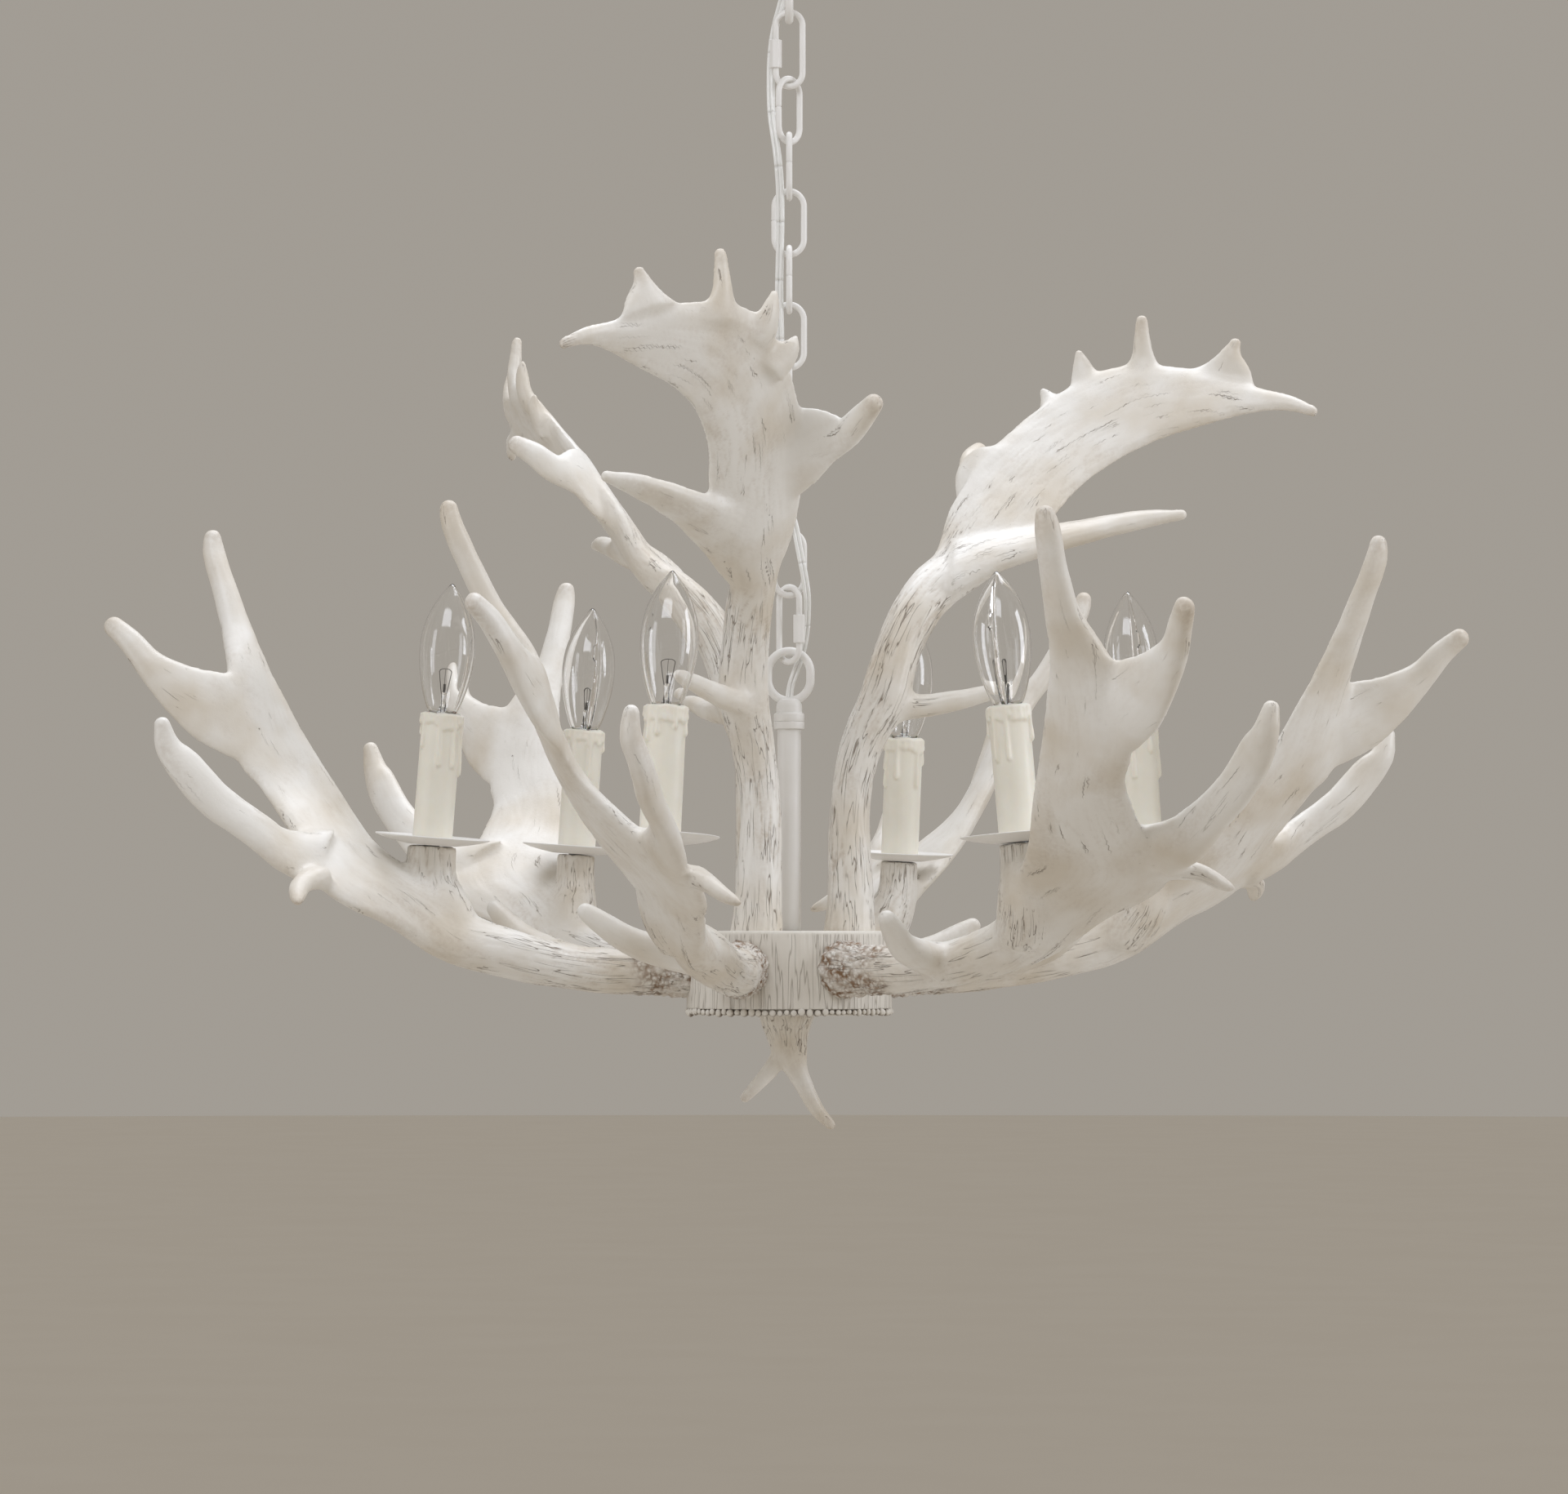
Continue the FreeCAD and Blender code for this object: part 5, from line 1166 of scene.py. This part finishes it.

# %% [markdown]
# ## The supply cord
# A flat clear cord and a bare ground wire come out of the canopy, wander down beside the chain
# and enter the stem. The chain has many joints, so the cord is made in spans that meet in the
# middle of the links, and each span crosses one joint. The line is a smooth curve through a few
# given points.

# %% Route of the cord: x right, y away from the viewer, height above the loop's flange
CORD_ROUTE = [(0, 0, 507.2), (0, 0.3, 481.2), (-2, 2, 469.2), (-6, 4.4, 456.2),
              (-10.2, 6.4, 440.2), (-12, 6.6, 423.2), (-12.3, 5.4, 405.2), (-11.6, 2.6, 387.2),
              (-9.6, -2.6, 373.2), (-7.4, -5.6, 358.2), (-5.9, -5.8, 337.2),
              (-5.6, -5.5, 316.2), (-6.2, -6, 294.2), (-6.8, -6.2, 272.2), (-6.2, -5.6, 250.2),
              (-5.7, -5.7, 228.2), (-5.8, -6.1, 206.2), (-6.4, -5.9, 185.2), (-6, -5.4, 167.2),
              (-4.8, -5.3, 152.2), (-1, -3.6, 138.2), (3.6, -4.8, 125.2), (6.4, -5.8, 109.2),
              (9.4, -5.9, 94.2), (11.6, -4.4, 80.2), (11.4, -0.4, 67.2), (10.6, 3.8, 55.2),
              (8, 6.4, 43.2), (4, 3.4, 31.7), (0, 0, 20.7), (0, 0, 9.2)]
route_data = bpy.data.curves.new("cord_route", "CURVE")
route_data.dimensions = "3D"
route_data.resolution_u = 8
spline = route_data.splines.new("NURBS")
spline.points.add(len(CORD_ROUTE) - 1)
for target, (x, y, z) in zip(spline.points, CORD_ROUTE):
    target.co = (x * MM, y * MM, z * MM + loop_joint, 1)
spline.order_u = 3
spline.use_endpoint_u = True
holder = bpy.data.objects.new("cord_route", route_data)
route_mesh = bpy.data.meshes.new_from_object(holder)
route = [v.co.copy() for v in route_mesh.vertices]
bpy.data.objects.remove(holder)
cord_length = sum((b - a).length for a, b in zip(route, route[1:]))
print("cord length in mm:", round(cord_length * 1000, 1), "of", len(route), "points")

# %% Frames along the route and the cord's section
CORE_OFFSET, JACKET_RADIUS, CONDUCTOR_RADIUS = 1.22, 1.28, 0.75
GROUND_OFFSET, GROUND_LIFT, GROUND_RADIUS = 1.9, -1.5, 0.6
frames = []
sideways = Vector((1, 0, 0))
for i, spot in enumerate(route):
    ahead = (route[min(i + 1, len(route) - 1)] - route[max(i - 1, 0)]).normalized()
    sideways = (sideways - ahead * sideways.dot(ahead)).normalized()
    frames.append((spot, sideways, ahead.cross(sideways), ahead))


def strand(bm, part, offset, lift, radius, finish_index, points=10):
    """One round strand of the cord at an offset in millimetres from its middle."""
    rings = []
    for i, (spot, across, through, ahead) in part:
        roll = 0.15 + 0.35 * math.sin(i * 0.021) + 0.2 * math.sin(i * 0.057)
        a = across * math.cos(roll) + through * math.sin(roll)
        b = through * math.cos(roll) - across * math.sin(roll)
        sway = lift * (1 + 0.25 * math.sin(i * 0.19))
        turn = Matrix((a, b, ahead)).transposed().to_4x4()
        turn.translation = spot + a * offset * MM + b * sway * MM
        ring = bmesh.ops.create_circle(bm, segments=points, radius=radius * MM,
                                       matrix=turn)["verts"]
        rings.append(list({e for v in ring for e in v.link_edges}))
    faces = []
    for low, high in zip(rings, rings[1:]):
        faces += bmesh.ops.bridge_loops(bm, edges=low + high)["faces"]
    for end in (rings[0], rings[-1]):
        faces += bmesh.ops.contextual_create(bm, geom=end)["faces"]
    for face in faces:
        face.material_index = finish_index


# %% Cord spans from link to link
chain_bodies = (["ceiling_mount", "top_quick_link"] + ["chain_link_%d" % k for k in range(1, 10)]
                + ["bottom_quick_link", "fixture"])
middles = [centre_of(body) for body in chain_bodies[1:-1]]
cuts = [route[0].z] + middles + [route[-1].z]
numbered = list(enumerate(frames))
for number, (upper, lower) in enumerate(zip(chain_bodies, chain_bodies[1:])):
    top, low = cuts[number], cuts[number + 1]
    part = [f for f in numbered if low - 1e-6 <= f[1][0].z <= top + 1e-6]
    if number + 1 < len(chain_bodies) - 1:
        part.append(numbered[part[-1][0] + 1])
    bm = bmesh.new()
    for offset in (-CORE_OFFSET, CORE_OFFSET):
        strand(bm, part, offset, 0, JACKET_RADIUS, 0)
        strand(bm, part, offset, 0, CONDUCTOR_RADIUS, 1)
    strand(bm, part, GROUND_OFFSET, GROUND_LIFT, GROUND_RADIUS, 1, points=8)
    bmesh.ops.recalc_face_normals(bm, faces=bm.faces)
    name = "cord_span_%02d" % (number + 1)
    span = to_piece(name, bm, None, [pvc_finish, copper_finish], ["supply_cord"])
    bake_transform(span)
print("cord spans:", len(chain_bodies) - 1)

# %% [markdown]
# ## Hidden hardware
# The CAD solids of the fittings inside the drum, the candles and the canopy already have their
# real shape. They only need their real finish: zinc-plated steel for the fittings, pale plastic
# for the sockets and wire insulation.

# %% Finishes for the CAD solids that show as they are
ZINC_PARTS = ["mounting_strap", "canopy_nipple", "nipple_locknut", "centre_rod", "rod_nuts",
              "lower_antler_bolts", "upper_antler_bolts", "pan_nipples"]
shown = {name: zinc_finish for name in ZINC_PARTS}
shown.update(candle_sockets=socket_finish, branch_wires=sheath_finish,
             wire_connectors=connector_finish, stem_cord=pvc_finish)
for name, finish in shown.items():
    data = nodes[name].data
    data.materials.clear()
    data.materials.append(finish)
print("CAD solids shown:", sum(not n.hide_render for n in nodes.values()))

# %% [markdown]
# ## Floor and light
# The chandelier hangs in front of a plain pale studio: a floor at room depth and an even
# surround. Most of the light comes from above and a little from behind, as from a ceiling and
# high windows, so the tops of the palms are bright. A smaller one in front stands high, so it
# lights the chain and the palms more than the drum. Two tall cards of light at the sides draw
# upright streaks on the bulbs.

# %% Studio
bm = bmesh.new()
bmesh.ops.create_circle(bm, cap_ends=True, segments=64, radius=60, matrix=at(-2.6))
floor_mesh = meshed("floor", bm)
floor_finish, tree, shader = start_finish("floor_pale_plaster", Roughness=0.9)
place = add(tree, "TexCoord", {})["Object"]
trowel = add(tree, "TexNoise", {"Vector": place, "Scale": 1 / 0.6, "Detail": 3.0})[0]
tone = add(tree, "Mix", {0: trowel, 6: swatch("FAF6EF"), 7: swatch("F5F0E8")},
           data_type="RGBA")[2]
tree.links.new(tone, shader.inputs["Base Color"])
floor_mesh.materials.append(floor_finish)
floor = bpy.data.objects.new("floor", floor_mesh)
scene.collection.objects.link(floor)

world = bpy.data.worlds.new("studio")
world.use_nodes = True
surround = world.node_tree.nodes["Background"]
surround.inputs["Color"].default_value = swatch("CFC8BE")
surround.inputs["Strength"].default_value = 0.58
scene.world = world
scene.view_settings.view_transform = "Standard"


DAYLIGHT = swatch("F2F6FF")[:3]


def softbox(name, spot, aim, width, height, power):
    """A large soft light that looks at a point, with its size in metres and power in watts."""
    data = bpy.data.lights.new(name, "AREA")
    data.shape = "RECTANGLE"
    data.size = width
    data.size_y = height
    data.energy = power
    data.color = DAYLIGHT
    made = bpy.data.objects.new(name, data)
    made.location = spot
    made.rotation_euler = (Vector(aim) - Vector(spot)).to_track_quat("-Z", "Y").to_euler()
    scene.collection.objects.link(made)


softbox("ceiling", (0.2, 0.6, 1.5), (0, 0, -0.5), 2.2, 1.4, 35)
softbox("front_high", (-0.4, -1.4, 0.75), (0, 0, -0.15), 1.2, 0.8, 12)
softbox("left_card", (-2.1, -1.3, -0.3), (0, 0, -0.55), 0.6, 1.6, 7)
softbox("right_card", (2.1, -0.4, 0.0), (0, 0, -0.4), 0.7, 1.5, 17)
print("lights:", len(bpy.data.lights))
